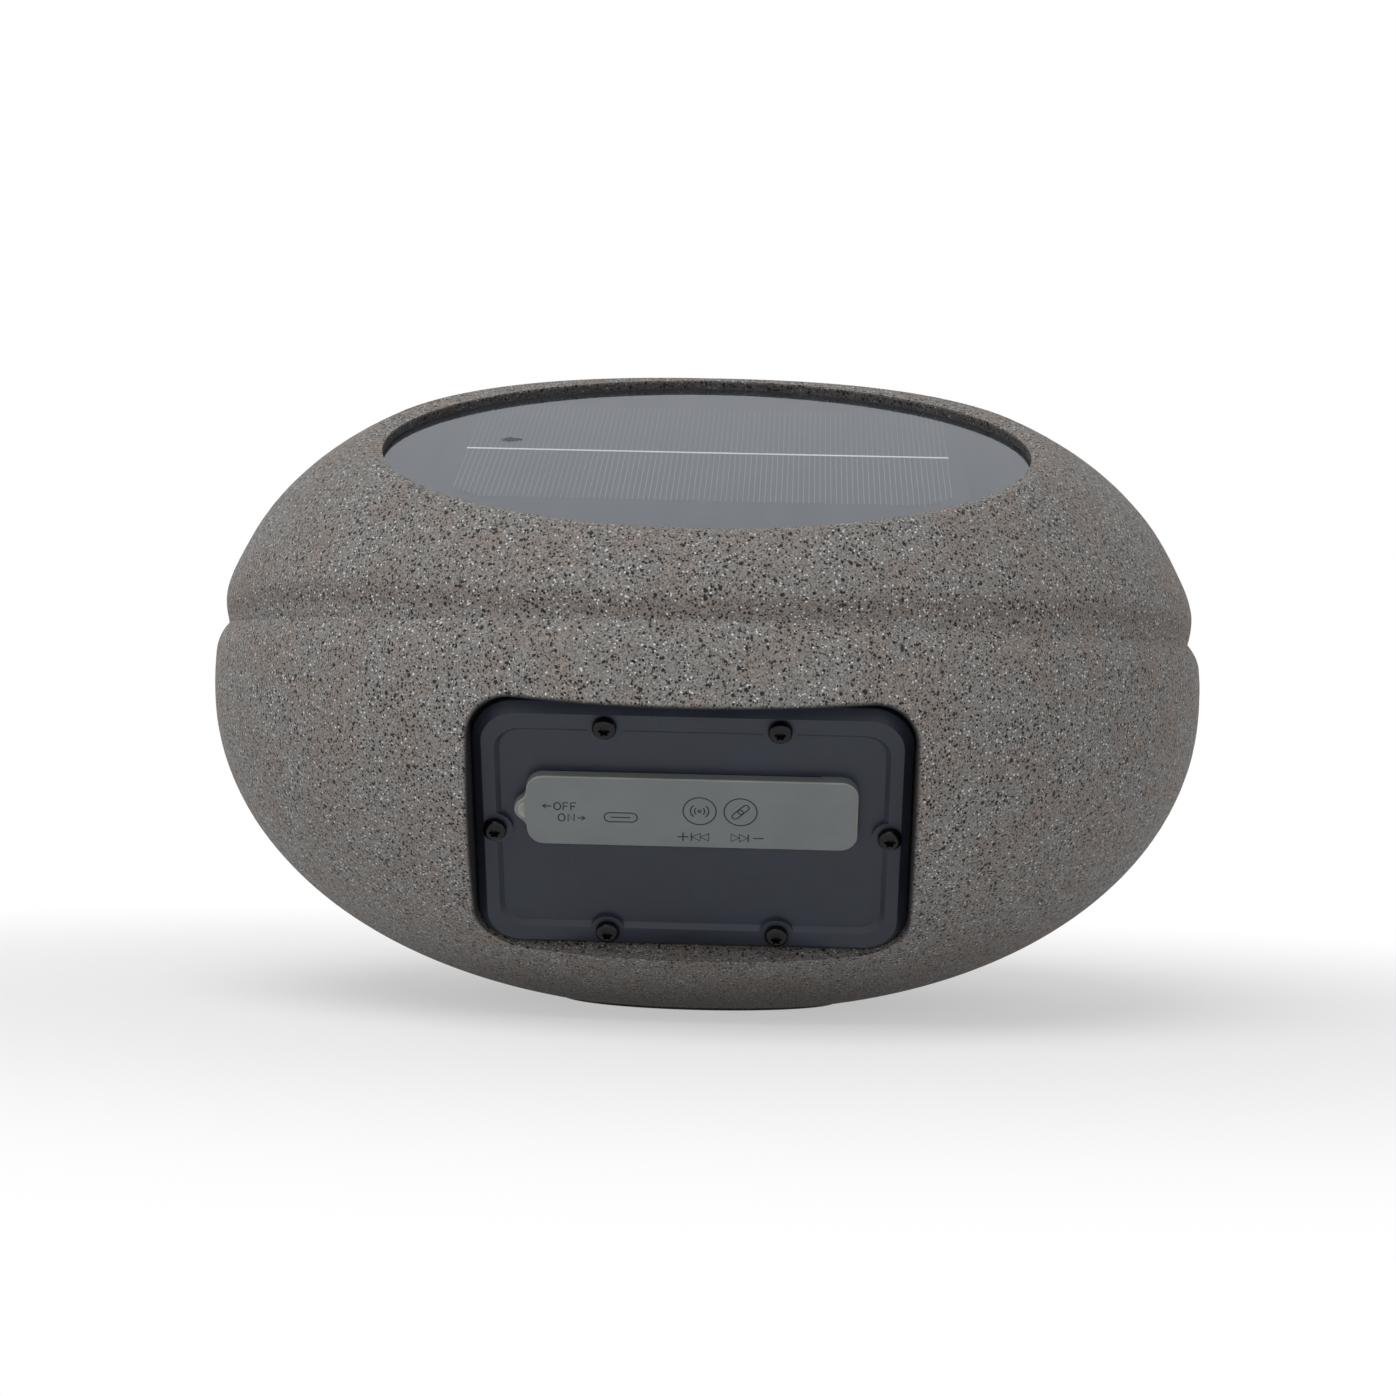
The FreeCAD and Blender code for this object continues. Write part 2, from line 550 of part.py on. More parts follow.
def control_plate():
    plate = rounded_plate(PLATE_SIZE[0], PLATE_SIZE[1], PLATE_CORNER, -PLATE_THICKNESS, 0)
    rim = [e for e in plate.Edges if e.BoundBox.ZMin > -1e-6]
    plate = plate.makeChamfer(PLATE_BEVEL, rim)
    mouth = rounded_wire(FIELD_SIZE[0], FIELD_SIZE[1], SEAT_CORNER, 0.0)
    step = 2 * FIELD_DEPTH
    bed = rounded_wire(FIELD_SIZE[0] - step, FIELD_SIZE[1] - step, SEAT_CORNER - FIELD_DEPTH, -FIELD_DEPTH)
    plate = plate.cut(Part.makeLoft([mouth, bed], True, True))
    inset = PLATE_BEVEL + 0.3
    flat = (PLATE_SIZE[0] - 2 * inset, PLATE_SIZE[1] - 2 * inset)
    top = rounded_plate(flat[0], flat[1], PLATE_CORNER - inset, -PLATE_THICKNESS, 0)
    pads = [disc(SCREW_PAD_RADIUS, -FIELD_DEPTH - 0.2, 0, x, y).common(top) for x, y in PLATE_SCREWS]
    posts = [disc(STANDOFF_RADIUS, BOARD_FRONT, -PLATE_THICKNESS, x, y) for x, y in standoffs()]
    plate = plate.fuse(pads + posts)
    y = FLAP_AT[1]
    cuts = [disc(SCREW_RADIUS, -PLATE_THICKNESS - 1, 1, sx, sy) for sx, sy in PLATE_SCREWS]
    cuts += [disc(BOARD_SCREW_RADIUS, BOARD_FRONT - 1, BOARD_FRONT + 7, sx, sy) for sx, sy in standoffs()]
    low, high = -PLATE_THICKNESS - 1, 1
    slot = (SWITCH_TRAVEL + KNOB_SIZE[0] + 2 * KNOB_GAP, KNOB_SIZE[1] + 2 * KNOB_GAP)
    port = (SOCKET_SIZE[0] + 2 * SOCKET_GAP, SOCKET_SIZE[1] + 2 * SOCKET_GAP)
    cuts.append(rounded_plate(slot[0], slot[1], SLOT_CORNER, low, high, SWITCH_X, y))
    cuts.append(rounded_plate(port[0], port[1], port[1] / 2 - 0.05, low, high, SOCKET_X, y))
    cuts += [disc(BUTTON_RADIUS + BUTTON_GAP, low, high, x, y) for x in BUTTON_X]
    cuts += [disc(FLAP_PLUG[0], low, high, px, py) for px, py in anchor_plugs()]
    return plate.cut(cuts).removeSplitter()


def standoffs():
    return [(sx * STANDOFF_AT[0], sy * STANDOFF_AT[1]) for sx in (-1, 1) for sy in (-1, 1)]


def anchor_plugs():
    middle = FLAP_AT[0] + FLAP_SIZE[0] / 2 - FLAP_ANCHOR_LENGTH / 2
    return [(middle, FLAP_AT[1] + side * FLAP_PLUG[1]) for side in (-1, 1)]


def plate_gasket():
    top, bottom = -PLATE_THICKNESS, -PLATE_THICKNESS - PLATE_GASKET_THICKNESS
    ring = rounded_plate(PLATE_SIZE[0], PLATE_SIZE[1], PLATE_CORNER, bottom, top)
    ring = ring.cut(rounded_plate(SEAT_OPENING[0], SEAT_OPENING[1], SEAT_CORNER, bottom - 1, top + 1))
    return ring.cut([disc(SCREW_RADIUS, bottom - 1, top + 1, x, y) for x, y in PLATE_SCREWS])


def flap_parts():
    x, y = FLAP_AT
    half = FLAP_SIZE[0] / 2
    whole = rounded_plate(FLAP_SIZE[0], FLAP_SIZE[1], FLAP_CORNER, FLAP_BOTTOM, FLAP_TOP, x, y)
    whole = whole.fuse(disc(FLAP_TAB_RADIUS, FLAP_BOTTOM, FLAP_TOP, x - half, y)).removeSplitter()
    rim = [e for e in whole.Edges if e.BoundBox.ZMin > FLAP_TOP - 1e-6]
    whole = whole.makeFillet(FLAP_EDGE, rim)
    dimple = Part.makeSphere(FLAP_DIMPLE, V(x - half - FLAP_DIMPLE / 2, y, FLAP_TOP + FLAP_DIMPLE / 2))
    hinge = x + half - FLAP_ANCHOR_LENGTH
    left = box(200, 200, -20, 20, hinge - 100 - FLAP_SPLIT / 2, y)
    right = box(200, 200, -20, 20, hinge + 100 + FLAP_SPLIT / 2, y)
    flap = whole.common(left).cut(dimple)
    anchor = whole.common(right)
    foot = rounded_plate(FLAP_SIZE[0], FLAP_SIZE[1], FLAP_CORNER, -FIELD_DEPTH, FLAP_BOTTOM, x, y)
    tip = -PLATE_THICKNESS - FLAP_PLUG_PROUD
    plugs = [disc(FLAP_PLUG[0], tip, -FIELD_DEPTH, px, py) for px, py in anchor_plugs()]
    return flap, anchor.fuse([foot.common(right)] + plugs).removeSplitter()


def control_board():
    board = rounded_plate(BOARD_SIZE[0], BOARD_SIZE[1], 2, BOARD_BACK, BOARD_FRONT)
    holes = [disc(BOARD_SCREW_RADIUS + 0.15, BOARD_BACK - 1, BOARD_FRONT + 1, x, y) for x, y in standoffs()]
    return board.cut(holes)


def board_screws():
    screws = []
    for x, y in standoffs():
        head = disc(2.3, BOARD_BACK - 1.6, BOARD_BACK, x, y)
        head = head.cut(disc(0.9, BOARD_BACK - 2, BOARD_BACK - 0.8, x, y))
        shank = disc(BOARD_SCREW_RADIUS, BOARD_BACK, BOARD_FRONT + 6, x, y)
        screws.append(placed(head.fuse(shank).removeSplitter(), PLATE))
    return screws


def charge_socket():
    y = FLAP_AT[1]
    floor = BOARD_FRONT + 1.2
    wide, tall = SOCKET_SIZE
    inner = (wide - 2 * SOCKET_WALL, tall - 2 * SOCKET_WALL)
    shell = rounded_plate(wide, tall, tall / 2 - 0.05, BOARD_FRONT, -SOCKET_SINK, SOCKET_X, y)
    shell = shell.cut(rounded_plate(inner[0], inner[1], inner[1] / 2 - 0.05, floor, 0, SOCKET_X, y))
    tongue = box(inner[0] - 1.7, 0.7, floor, -SOCKET_SINK - 1.2, SOCKET_X, y)
    return shell, tongue


def power_switch():
    y = FLAP_AT[1]
    top = BOARD_FRONT + SWITCH_HEIGHT
    well = (SWITCH_STEM[0] + SWITCH_TRAVEL + 2 * SWITCH_STEM_GAP, SWITCH_STEM[1] + 2 * SWITCH_STEM_GAP)
    case = box(well[0] + 2.8, well[1] + 2.2, BOARD_FRONT, top, SWITCH_X, y)
    case = case.cut(box(well[0], well[1], BOARD_FRONT + 1.5, top + 1, SWITCH_X, y))
    # The slider stands at the middle of its travel
    stem = box(SWITCH_STEM[0], SWITCH_STEM[1], BOARD_FRONT + 1.9, top + 3, SWITCH_X, y)
    knob = box(KNOB_SIZE[0], KNOB_SIZE[1], top + 2, -KNOB_SINK, SWITCH_X, y)
    grips = [box(0.5, 4, -KNOB_SINK - 0.5, 0, SWITCH_X + dx, y) for dx in (-1, 0, 1)]
    return case, stem.fuse(knob).cut(grips).removeSplitter()


def button_switch(x):
    y = FLAP_AT[1]
    side, height, plunger = BUTTON_SWITCH
    top = BOARD_FRONT + height
    return box(side, side, BOARD_FRONT, top, x, y).fuse(disc(1.7, top, top + plunger, x, y)).removeSplitter()


def button_cap(x):
    y = FLAP_AT[1]
    flange_top = -PLATE_THICKNESS - BUTTON_GAP
    flange_low = flange_top - BUTTON_FLANGE
    cap = disc(BUTTON_RADIUS, flange_low, -BUTTON_SINK, x, y)
    rim = [e for e in cap.Edges if e.BoundBox.ZMin > -BUTTON_SINK - 1e-6]
    cap = cap.makeFillet(0.5, rim)
    flange = disc(BUTTON_RADIUS + 1.0, flange_low, flange_top, x, y)
    stem_end = BOARD_FRONT + BUTTON_SWITCH[1] + BUTTON_SWITCH[2] + BUTTON_TRAVEL + 0.4
    return cap.fuse([flange, disc(1.6, stem_end, flange_low, x, y)]).removeSplitter()


def board_parts():
    amplifier = box(7, 7, BOARD_FRONT, BOARD_FRONT + 1.2, -8, -10)
    coil = rounded_plate(7, 7, 1.5, BOARD_FRONT, BOARD_FRONT + 4, 3, -10)
    big = [disc(3.2, BOARD_FRONT, BOARD_FRONT + 8, x, -12) for x in (-30, -21)]
    charger = box(5, 4, BOARD_FRONT, BOARD_FRONT + 1.0, 14, -12)
    chip = box(5, 5, BOARD_BACK - 1.0, BOARD_BACK, -10, -8)
    return [amplifier, coil, charger, chip] + big


def radio_module():
    base = box(20, 14, BOARD_BACK - 1.0, BOARD_BACK, 22, -8)
    return base.fuse(box(15, 13, BOARD_BACK - 2.8, BOARD_BACK - 1.0, 20, -8)).removeSplitter()


def connectors():
    wide, tall, deep = CONNECTOR_SIZE
    blocks = [box(wide, tall, BOARD_BACK - deep, BOARD_BACK, x, CONNECTOR_Y) for x in CONNECTOR_X]
    return [placed(block, PLATE) for block in blocks]


def control_parts():
    save("control_plate", placed(control_plate(), PLATE))
    save("plate_gasket", placed(plate_gasket(), PLATE))
    length = PLATE_THICKNESS + PLATE_GASKET_THICKNESS + SCREW_BITE
    save("plate_screws", *[placed(pan_screw(length, x, y, 0), PLATE) for x, y in PLATE_SCREWS])
    flap, anchor = flap_parts()
    save("port_flap", placed(flap, PLATE))
    save("port_flap_anchor", placed(anchor, PLATE))
    save("control_board", placed(control_board(), PLATE))
    save("board_screws", *board_screws())
    shell, tongue = charge_socket()
    save("charge_socket_shell", placed(shell, PLATE))
    save("charge_socket_tongue", placed(tongue, PLATE))
    case, slider = power_switch()
    save("power_switch_case", placed(case, PLATE))
    save("power_switch_slider", placed(slider, PLATE))
    save("button_switches", *[placed(button_switch(x), PLATE) for x in BUTTON_X])
    save("pair_button", placed(button_cap(BUTTON_X[0]), PLATE))
    save("link_button", placed(button_cap(BUTTON_X[1]), PLATE))
    save("board_parts", *[placed(shape, PLATE) for shape in board_parts()])
    save("radio_module", placed(radio_module(), PLATE))
    save("lead_connectors", *connectors())


# Loudspeaker

def grille():
    front = -GRILLE_DEPTH
    plate = disc(GRILLE_RADIUS - GRILLE_GAP, front - GRILLE_THICKNESS, front)
    holes = []
    row_pitch = GRILLE_PITCH * math.sqrt(0.75)
    count = int(GRILLE_RADIUS / row_pitch)
    for row in range(-count, count + 1):
        y = row * row_pitch
        shift = GRILLE_PITCH / 2 if row % 2 else 0.0
        for column in range(-count, count + 1):
            x = column * GRILLE_PITCH + shift
            if math.hypot(x, y) < GRILLE_RADIUS - GRILLE_EDGE:
                holes.append(disc(GRILLE_HOLE / 2, front - GRILLE_THICKNESS - 1, front + 1, x, y))
    return plate.cut(holes)


def basket():
    """Pressed basket: mounting flange, sloping wall with four windows and a seat ring for the magnet."""
    f, b = FLANGE_FRONT, FLANGE_BACK
    seat = b - BASKET_DEPTH
    profile = [(BASKET_RADIUS, f), (25.0, f), (25.0, b), (19.5, seat + 1.2), (9.5, seat + 1.2), (9.5, seat),
               (20.5, seat), (26.2, b), (BASKET_RADIUS, b)]
    body = turned_outline(profile)
    windows = [box(13, 60, b - 11.5, b - 3.0, 0, 0), box(60, 13, b - 11.5, b - 3.0, 0, 0)]
    holes = [disc(SCREW_RADIUS + 0.1, b - 1, f + 1, x, y) for x, y in DRIVER_SCREWS]
    terminal = box(9, 3.4, b - 9.0, b - 1.0, 0, -27.2)
    return body.cut(windows + holes).fuse(terminal).removeSplitter()


def driver_parts():
    f, b = FLANGE_FRONT, FLANGE_BACK
    seat = b - BASKET_DEPTH
    gasket = tube(BASKET_RADIUS, BAFFLE_OPENING, f, BAFFLE_BACK)
    gasket = gasket.cut([disc(SCREW_RADIUS + 0.1, f - 1, BAFFLE_BACK + 1, x, y) for x, y in DRIVER_SCREWS])
    roll_outer = Part.Arc(V(24.7, 0, b), V(22.4, 0, b + 1.9), V(20.2, 0, b)).toShape()
    roll_inner = Part.Arc(V(20.7, 0, b), V(22.4, 0, b + 1.4), V(24.2, 0, b)).toShape()
    surround = turned(roll_outer, line((20.2, b), (20.7, b)), roll_inner, line((24.2, b), (24.7, b)))
    cone = turned_outline([(19.9, b), (19.3, b), (7.2, b - 8.6), (7.2, b - 9.4), (7.8, b - 9.4)])
    dust_cap = turned_outline([(7.0, b - 8.2), (5.5, b - 6.7), (3.0, b - 5.6), (0.0, b - 5.2), (0.0, b - 5.7),
                               (2.9, b - 6.1), (5.2, b - 7.2), (6.6, b - 8.6)])
    winding = [(7.4, seat - 3.0), (7.4, seat + 2.0), (7.1, seat + 2.0)]
    coil = turned_outline([(7.1, b - 8.9), (6.7, b - 8.9), (6.7, seat - 3.0)] + winding)
    heights = ((7.5, 4.0), (10.0, 4.6), (13.0, 3.6), (16.0, 4.6), (18.6, 3.8))
    waves = [(r, seat + height) for r, height in heights]
    spider = turned_outline(waves + [(r, z - 0.4) for r, z in waves[::-1]])
    top_plate = tube(18.0, 7.9, seat - 3.0, seat)
    magnet = tube(20.0, 10.5, seat - 11.0, seat - 3.0)
    yoke = disc(18.0, seat - 14.0, seat - 11.0).fuse(disc(6.2, seat - 11.0, seat)).removeSplitter()
    cloth = disc(GRILLE_RADIUS - GRILLE_GAP, BAFFLE_FRONT, BAFFLE_FRONT + CLOTH_THICKNESS)
    named = {"grille": grille(), "grille_cloth": cloth, "driver_gasket": gasket,
             "driver_basket": basket(), "driver_surround": surround, "driver_cone": cone,
             "dust_cap": dust_cap, "voice_coil": coil, "driver_spider": spider,
             "driver_top_plate": top_plate, "driver_magnet": magnet, "driver_yoke": yoke}
    for name, shape in named.items():
        save(name, placed(shape, DRIVER))
    flip = FreeCAD.Placement(V(0, 0, FLANGE_BACK), FreeCAD.Rotation(V(1, 0, 0), 180))
    length = BASKET_FLANGE + DRIVER_GASKET + BAFFLE_THICKNESS - 1.4
    behind = DRIVER.multiply(flip)
    save("driver_screws", *[placed(pan_screw(length, x, y, 0), behind) for x, y in DRIVER_SCREWS])


# Battery, leads and foot

def battery_parts():
    floor = BASE_Z + FLOOR_THICKNESS
    start = V(-PACK_SIZE[0] / 2, 0, floor + PACK_SIZE[2] / 2)
    upright = FreeCAD.Placement(start, FreeCAD.Rotation(V(1, 1, 1), 120))
    pack = placed(rounded_plate(PACK_SIZE[1], PACK_SIZE[2], PACK_SIZE[2] / 2 - 0.1, 0, PACK_SIZE[0]), upright)
    rim = [e for e in pack.Edges if e.BoundBox.XLength < 1e-6]
    save("battery_pack", pack.makeFillet(0.8, rim))
    inner, top, foot = PACK_SIZE[1] / 2 + STRAP_GAP, floor + PACK_SIZE[2], floor + STRAP_BOSS_HEIGHT
    strap = box(STRAP_WIDTH, 2 * (inner + STRAP_THICKNESS), foot, top + STRAP_THICKNESS)
    strap = strap.cut(box(STRAP_WIDTH + 2, 2 * inner, foot - 1, top))
    screws = []
    for side in (-1, 1):
        reach = STRAP_SCREW_Y + STRAP_BOSS_RADIUS - inner
        screw_y = side * STRAP_SCREW_Y
        seat = foot + STRAP_THICKNESS
        ear = box(STRAP_WIDTH, reach, foot, seat, 0, side * (inner + reach / 2))
        strap = strap.fuse(ear).cut(disc(SCREW_RADIUS + 0.1, foot - 1, seat + 1, 0, screw_y))
        screws.append(pan_screw(STRAP_THICKNESS + SCREW_BITE, 0, screw_y, seat))
    save("battery_bracket", strap.removeSplitter())
    save("bracket_screws", *screws)


def leads():
    plug = BOARD_BACK - CONNECTOR_SIZE[2]

    def at_plug(index, back):
        return PLATE.multVec(V(CONNECTOR_X[index], CONNECTOR_Y, plug - back))

    board = -COVER_BELOW_RIM - COVER_THICKNESS - BACKBOARD_THICKNESS
    start = [SOLAR.multVec(V(CELL_LEAD_AT[0], CELL_LEAD_AT[1], board - drop)) for drop in (0, 18)]
    save("solar_lead", lead(start + [at_plug(0, 20), at_plug(0, 0)]))
    terminal = DRIVER.multVec(V(0, -28.9, FLANGE_BACK - 5.0))
    out = DRIVER.multVec(V(0, -42.0, FLANGE_BACK - 5.0))
    save("driver_lead", lead([terminal, out, V(0, out.y - 25, SEAM_Z - 10), at_plug(1, 20), at_plug(1, 0)]))
    level = BASE_Z + FLOOR_THICKNESS + PACK_SIZE[2] / 2
    side = PACK_SIZE[0] / 2
    save("battery_lead", lead([V(side, 0, level), V(side + 14, 0, level), V(side + 6, -40, level + 20),
                               at_plug(2, 20), at_plug(2, 0)]))


def foot_pad():
    pad = disc(FOOT_RADIUS, 0, BASE_Z + FOOT_SUNK)
    return pad.cut(disc(FOOT_RADIUS - 8, -1, 0.5))


save("lower_shell", lower_shell())
save("upper_shell", upper_shell())
save("seam_gasket", gasket_ring(0.05))
save("shell_screws", *shell_screws())
save("screw_plugs", *screw_plugs())
save("foot_pad", foot_pad())
solar_parts()
control_parts()
driver_parts()
battery_parts()
leads()
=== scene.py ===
"""Finishes a stone-look garden speaker: its materials, its rubber flap with the marks, and its stage."""

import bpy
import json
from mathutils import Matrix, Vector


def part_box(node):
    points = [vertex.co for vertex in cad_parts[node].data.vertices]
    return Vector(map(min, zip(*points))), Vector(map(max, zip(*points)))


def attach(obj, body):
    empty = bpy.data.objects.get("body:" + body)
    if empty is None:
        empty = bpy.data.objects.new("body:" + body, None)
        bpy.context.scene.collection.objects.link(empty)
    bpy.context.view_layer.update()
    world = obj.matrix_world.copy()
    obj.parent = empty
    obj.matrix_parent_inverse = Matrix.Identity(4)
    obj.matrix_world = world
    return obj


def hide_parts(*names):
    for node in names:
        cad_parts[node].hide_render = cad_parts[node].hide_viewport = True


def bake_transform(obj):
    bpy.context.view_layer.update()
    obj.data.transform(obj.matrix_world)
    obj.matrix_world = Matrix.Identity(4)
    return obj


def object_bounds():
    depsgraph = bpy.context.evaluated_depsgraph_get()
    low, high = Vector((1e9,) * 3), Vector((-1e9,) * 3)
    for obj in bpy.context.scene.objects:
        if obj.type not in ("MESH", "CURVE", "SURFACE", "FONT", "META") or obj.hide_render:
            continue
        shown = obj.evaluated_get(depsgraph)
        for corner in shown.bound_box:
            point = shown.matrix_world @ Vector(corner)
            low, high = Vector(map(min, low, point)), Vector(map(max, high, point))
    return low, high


bl_info = {
    "name": "Pebble garden speaker",
    "version": (1, 0, 0),
    "blender": (4, 5, 0),
    "location": "View3D > Sidebar > Speaker",
    "description": "Finishes the packed model of a stone-look garden speaker",
    "category": "Object",
}

import json
import math

import bmesh
import bpy
from mathutils import Matrix, Vector

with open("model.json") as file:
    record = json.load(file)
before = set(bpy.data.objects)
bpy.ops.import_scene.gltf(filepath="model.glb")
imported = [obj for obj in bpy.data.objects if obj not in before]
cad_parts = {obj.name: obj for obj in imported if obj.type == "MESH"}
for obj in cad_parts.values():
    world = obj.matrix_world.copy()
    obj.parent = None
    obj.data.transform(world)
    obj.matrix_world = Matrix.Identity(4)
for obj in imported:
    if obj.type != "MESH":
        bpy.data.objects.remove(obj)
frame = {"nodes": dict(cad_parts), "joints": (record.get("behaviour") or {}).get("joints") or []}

MM = 0.001
CAD_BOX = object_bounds()
JOINTS = {joint["name"]: joint for joint in frame["joints"]}

# The flap's own frame: x along the plate, y up the plate, z out of it, at the middle of the flap's outer face
RIGHT = Vector((1, 0, 0))
UP = Vector(JOINTS["flap_hinge"]["axis"]).normalized()
OUT = -Vector(JOINTS["pair_press"]["axis"]).normalized()
HINGE = Vector(JOINTS["flap_hinge"]["pos_m"])
FLAP_MIDDLE = HINGE - RIGHT * HINGE.x
FLAP_FRAME = Matrix((RIGHT, UP, OUT)).transposed().to_4x4()
FLAP_FRAME.translation = FLAP_MIDDLE
PLATE_TURN = math.atan2(UP.z, UP.y)

# The flap's middle lies this far up from the plate's middle, and its outer face this far out of the plate's
FLAP_RISE = 6.3 * MM
FLAP_PROUD = 1.5 * MM
PLATE_MIDDLE = FLAP_MIDDLE - UP * FLAP_RISE - OUT * FLAP_PROUD

# The flap's foot starts this far past the hinge, and stands this far below the flap's back
PAST_HINGE = 0.15 * MM
FOOT_DROP = 0.28 * MM

# The sloping panel's middle, from the box of its cover
COVER_LOW, COVER_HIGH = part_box("solar_cover")
PANEL_MIDDLE = (COVER_LOW + COVER_HIGH) / 2
PANEL_HALF_X = (COVER_HIGH.x - COVER_LOW.x) / 2

# How far along Y the cell's ribbon lies from the panel's middle
RIBBON_LOW, RIBBON_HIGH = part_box("cell_ribbon")
RIBBON_Y = (RIBBON_LOW.y + RIBBON_HIGH.y) / 2 - PANEL_MIDDLE.y

# Heights out of the panel's middle: the cover's face, the recess's rim, and where the painted shade on the
# recess wall reaches full strength
COVER_TOP = 0.9 * MM
RIM_TOP = 2.8 * MM
SHADE_FULL = 2.0 * MM

# The painted shade on the recess wall: its reach past the cover's edge, its lower end, and how much of the
# shade colour it takes
RECESS_REACH = 0.9 * MM
RECESS_LOW = -8.0 * MM
RECESS_SHADE = 0.65

# The cover's thin film: its thickness in nanometres and its refractive index
FILM_NANOMETRES = 166.0
FILM_INDEX = 1.38

# Where the stain lies on the cover, and how thick it is
STAIN_X = -48.0 * MM
STAIN_Y = 11.5 * MM
STAIN_THICKNESS = 0.02 * MM

# Height of the seam between the shells
SEAM_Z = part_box("upper_shell")[0].z

# The painted shade band over the seam: the height of its soft lower edge, where it fades out, and its rise in
# a wave
LIP_EDGE = 1.0 * MM
LIP_FADE = (3.5 * MM, 7.0 * MM)
LIP_WAVE = 3.0 * MM

# The window round the plate: half sizes, corner and middle in the plate's plane, and how its front run leans
WINDOW_HALF = Vector((50.0, 35.65)) * MM
WINDOW_CORNER = 10.5 * MM
WINDOW_RISE = 1.4 * MM
WINDOW_LEAN = math.radians(17.5)

# The painted shade inside the window: its soft edge, its reach before and behind the plate's face, and the
# heights between which it fades out towards the lit sill at the bottom
WINDOW_HALO = (0.05 * MM, 1.2 * MM)
WINDOW_FRONT = 20 * MM
WINDOW_BACK = -5 * MM
SILL = (-34 * MM, -22 * MM)

# The floor in metres: its radius, the ring in which it turns white, and how white it is near the object
FLOOR_RADIUS = 12.0
WHITE_RING = (0.15, 0.4)
NEAR_WHITE = 0.48

# Places and widths of the lamps in metres; the one behind on the left mirrors the one on the right
KEY_PLACE = Vector((-0.4, -0.85, 1.65))
KEY_WIDTH = 1.7
FRONT_PLACE = Vector((-0.5, -1.6, 0.06))
FRONT_WIDTH = 0.8
BACK_PLACE = Vector((1.1, 1.3, 0.3))
BACK_WIDTH = 1.2


def srgb(red, green, blue):
    """Linear colour of a display colour given in 0 to 255."""
    shares = [channel / 255 for channel in (red, green, blue)]
    return tuple(s / 12.92 if s <= 0.04045 else ((s + 0.055) / 1.055) ** 2.4 for s in shares)


def colour(name, note, red, green, blue):
    return bpy.props.FloatVectorProperty(name=name, description=note, subtype="COLOR", size=3, min=0, max=1,
                                         default=srgb(red, green, blue))


def length(name, note, millimetres):
    return bpy.props.FloatProperty(name=name, description=note, subtype="DISTANCE", unit="LENGTH", min=0,
                                   default=millimetres * MM, precision=5)


def angle(name, note, degrees):
    return bpy.props.FloatProperty(name=name, description=note, subtype="ANGLE",
                                   default=math.radians(degrees))


def share(name, note, value):
    return bpy.props.FloatProperty(name=name, description=note, subtype="FACTOR", min=0, max=1,
                                   default=value)


def power(name, note, watts):
    return bpy.props.FloatProperty(name=name, description=note, unit="POWER", min=0, default=watts)


class StoneLook(bpy.types.PropertyGroup):
    """Stone-look finish of the two shells."""
    ground: colour("Ground", "Colour of the ground coat", 131, 128, 125)
    # The warm colour also paints the shade band over the seam
    warm: colour("Warm patches", "Colour of the faint warm patches", 133, 125, 120)
    dark: colour("Dark specks", "Colour of the dark specks", 11, 11, 11)
    pale: colour("Pale specks", "Colour of the pale specks", 226, 230, 235)
    # Painted shade: this colour darkens the walls of the panel's recess and of the control window
    pocket_shade: colour("Pocket shade", "Colour of the painted shade inside the pockets", 26, 26, 28)
    large: length("Large speck spacing", "Spacing of the large dark specks", 1.7)
    medium: length("Middle speck spacing", "Spacing of the middle dark specks", 0.9)
    fine: length("Fine speck spacing", "Spacing of the fine dark specks", 0.6)
    white: length("Pale speck spacing", "Spacing of the pale specks", 0.85)
    patch: length("Patch size", "Size of the warm patches", 12.0)
    relief: length("Relief", "Height of the grain in the coat", 0.2)


class PanelLook(bpy.types.PropertyGroup):
    """Solar panel."""
    tilt: angle("Tilt", "Slope of the panel's face", 20.5)
    cell: colour("Cell", "Colour of the silicon", 30, 33, 40)
    finger: colour("Fingers", "Colour of the fine printed lines", 112, 116, 122)
    pitch: length("Finger pitch", "Spacing of the fine printed lines", 1.27)
    line: length("Finger width", "Width of the fine printed lines", 0.17)
    ribbon: colour("Ribbon", "Colour of the tinned ribbon", 214, 216, 220)
    stain: length("Stain", "Length of the small stain on the cover", 6.0)


class PlateLook(bpy.types.PropertyGroup):
    """Control plate and its screws."""
    plate: colour("Plate", "Colour of the moulded plate", 45, 50, 61)
    screw: colour("Screws", "Colour of the blackened screws", 7, 7, 8)
    grain: length("Grain", "Size of the plate's fine grain", 0.35)


class FlapLook(bpy.types.PropertyGroup):
    """Rubber flap and its marks."""
    rubber: colour("Rubber", "Colour of the flap", 118, 123, 124)
    # Painted highlight: the pale colour of the flap's rim and tab
    rim_highlight: colour("Rim highlight", "Colour of the painted highlight on the rim and the tab", 168, 166, 156)
    ink: colour("Marks", "Colour of the marks", 12, 13, 13)
    width: length("Length", "Length of the flap along the plate", 75.0)
    height: length("Height", "Height of the flap up the plate", 18.8)
    depth: length("Thickness", "Thickness of the flap", 2.3)
    corner: length("Corner", "Radius of the flap's corners", 4.0)
    tab: length("Tab", "Radius of the pull tab", 2.8)
    edge: length("Edge", "Rounding of the flap's outer edge", 0.5)
    stroke: length("Stroke", "Width of the lines of the marks", 0.46)
    bend: length("Bend", "Length of the flap that bends at its hinge", 4.8)


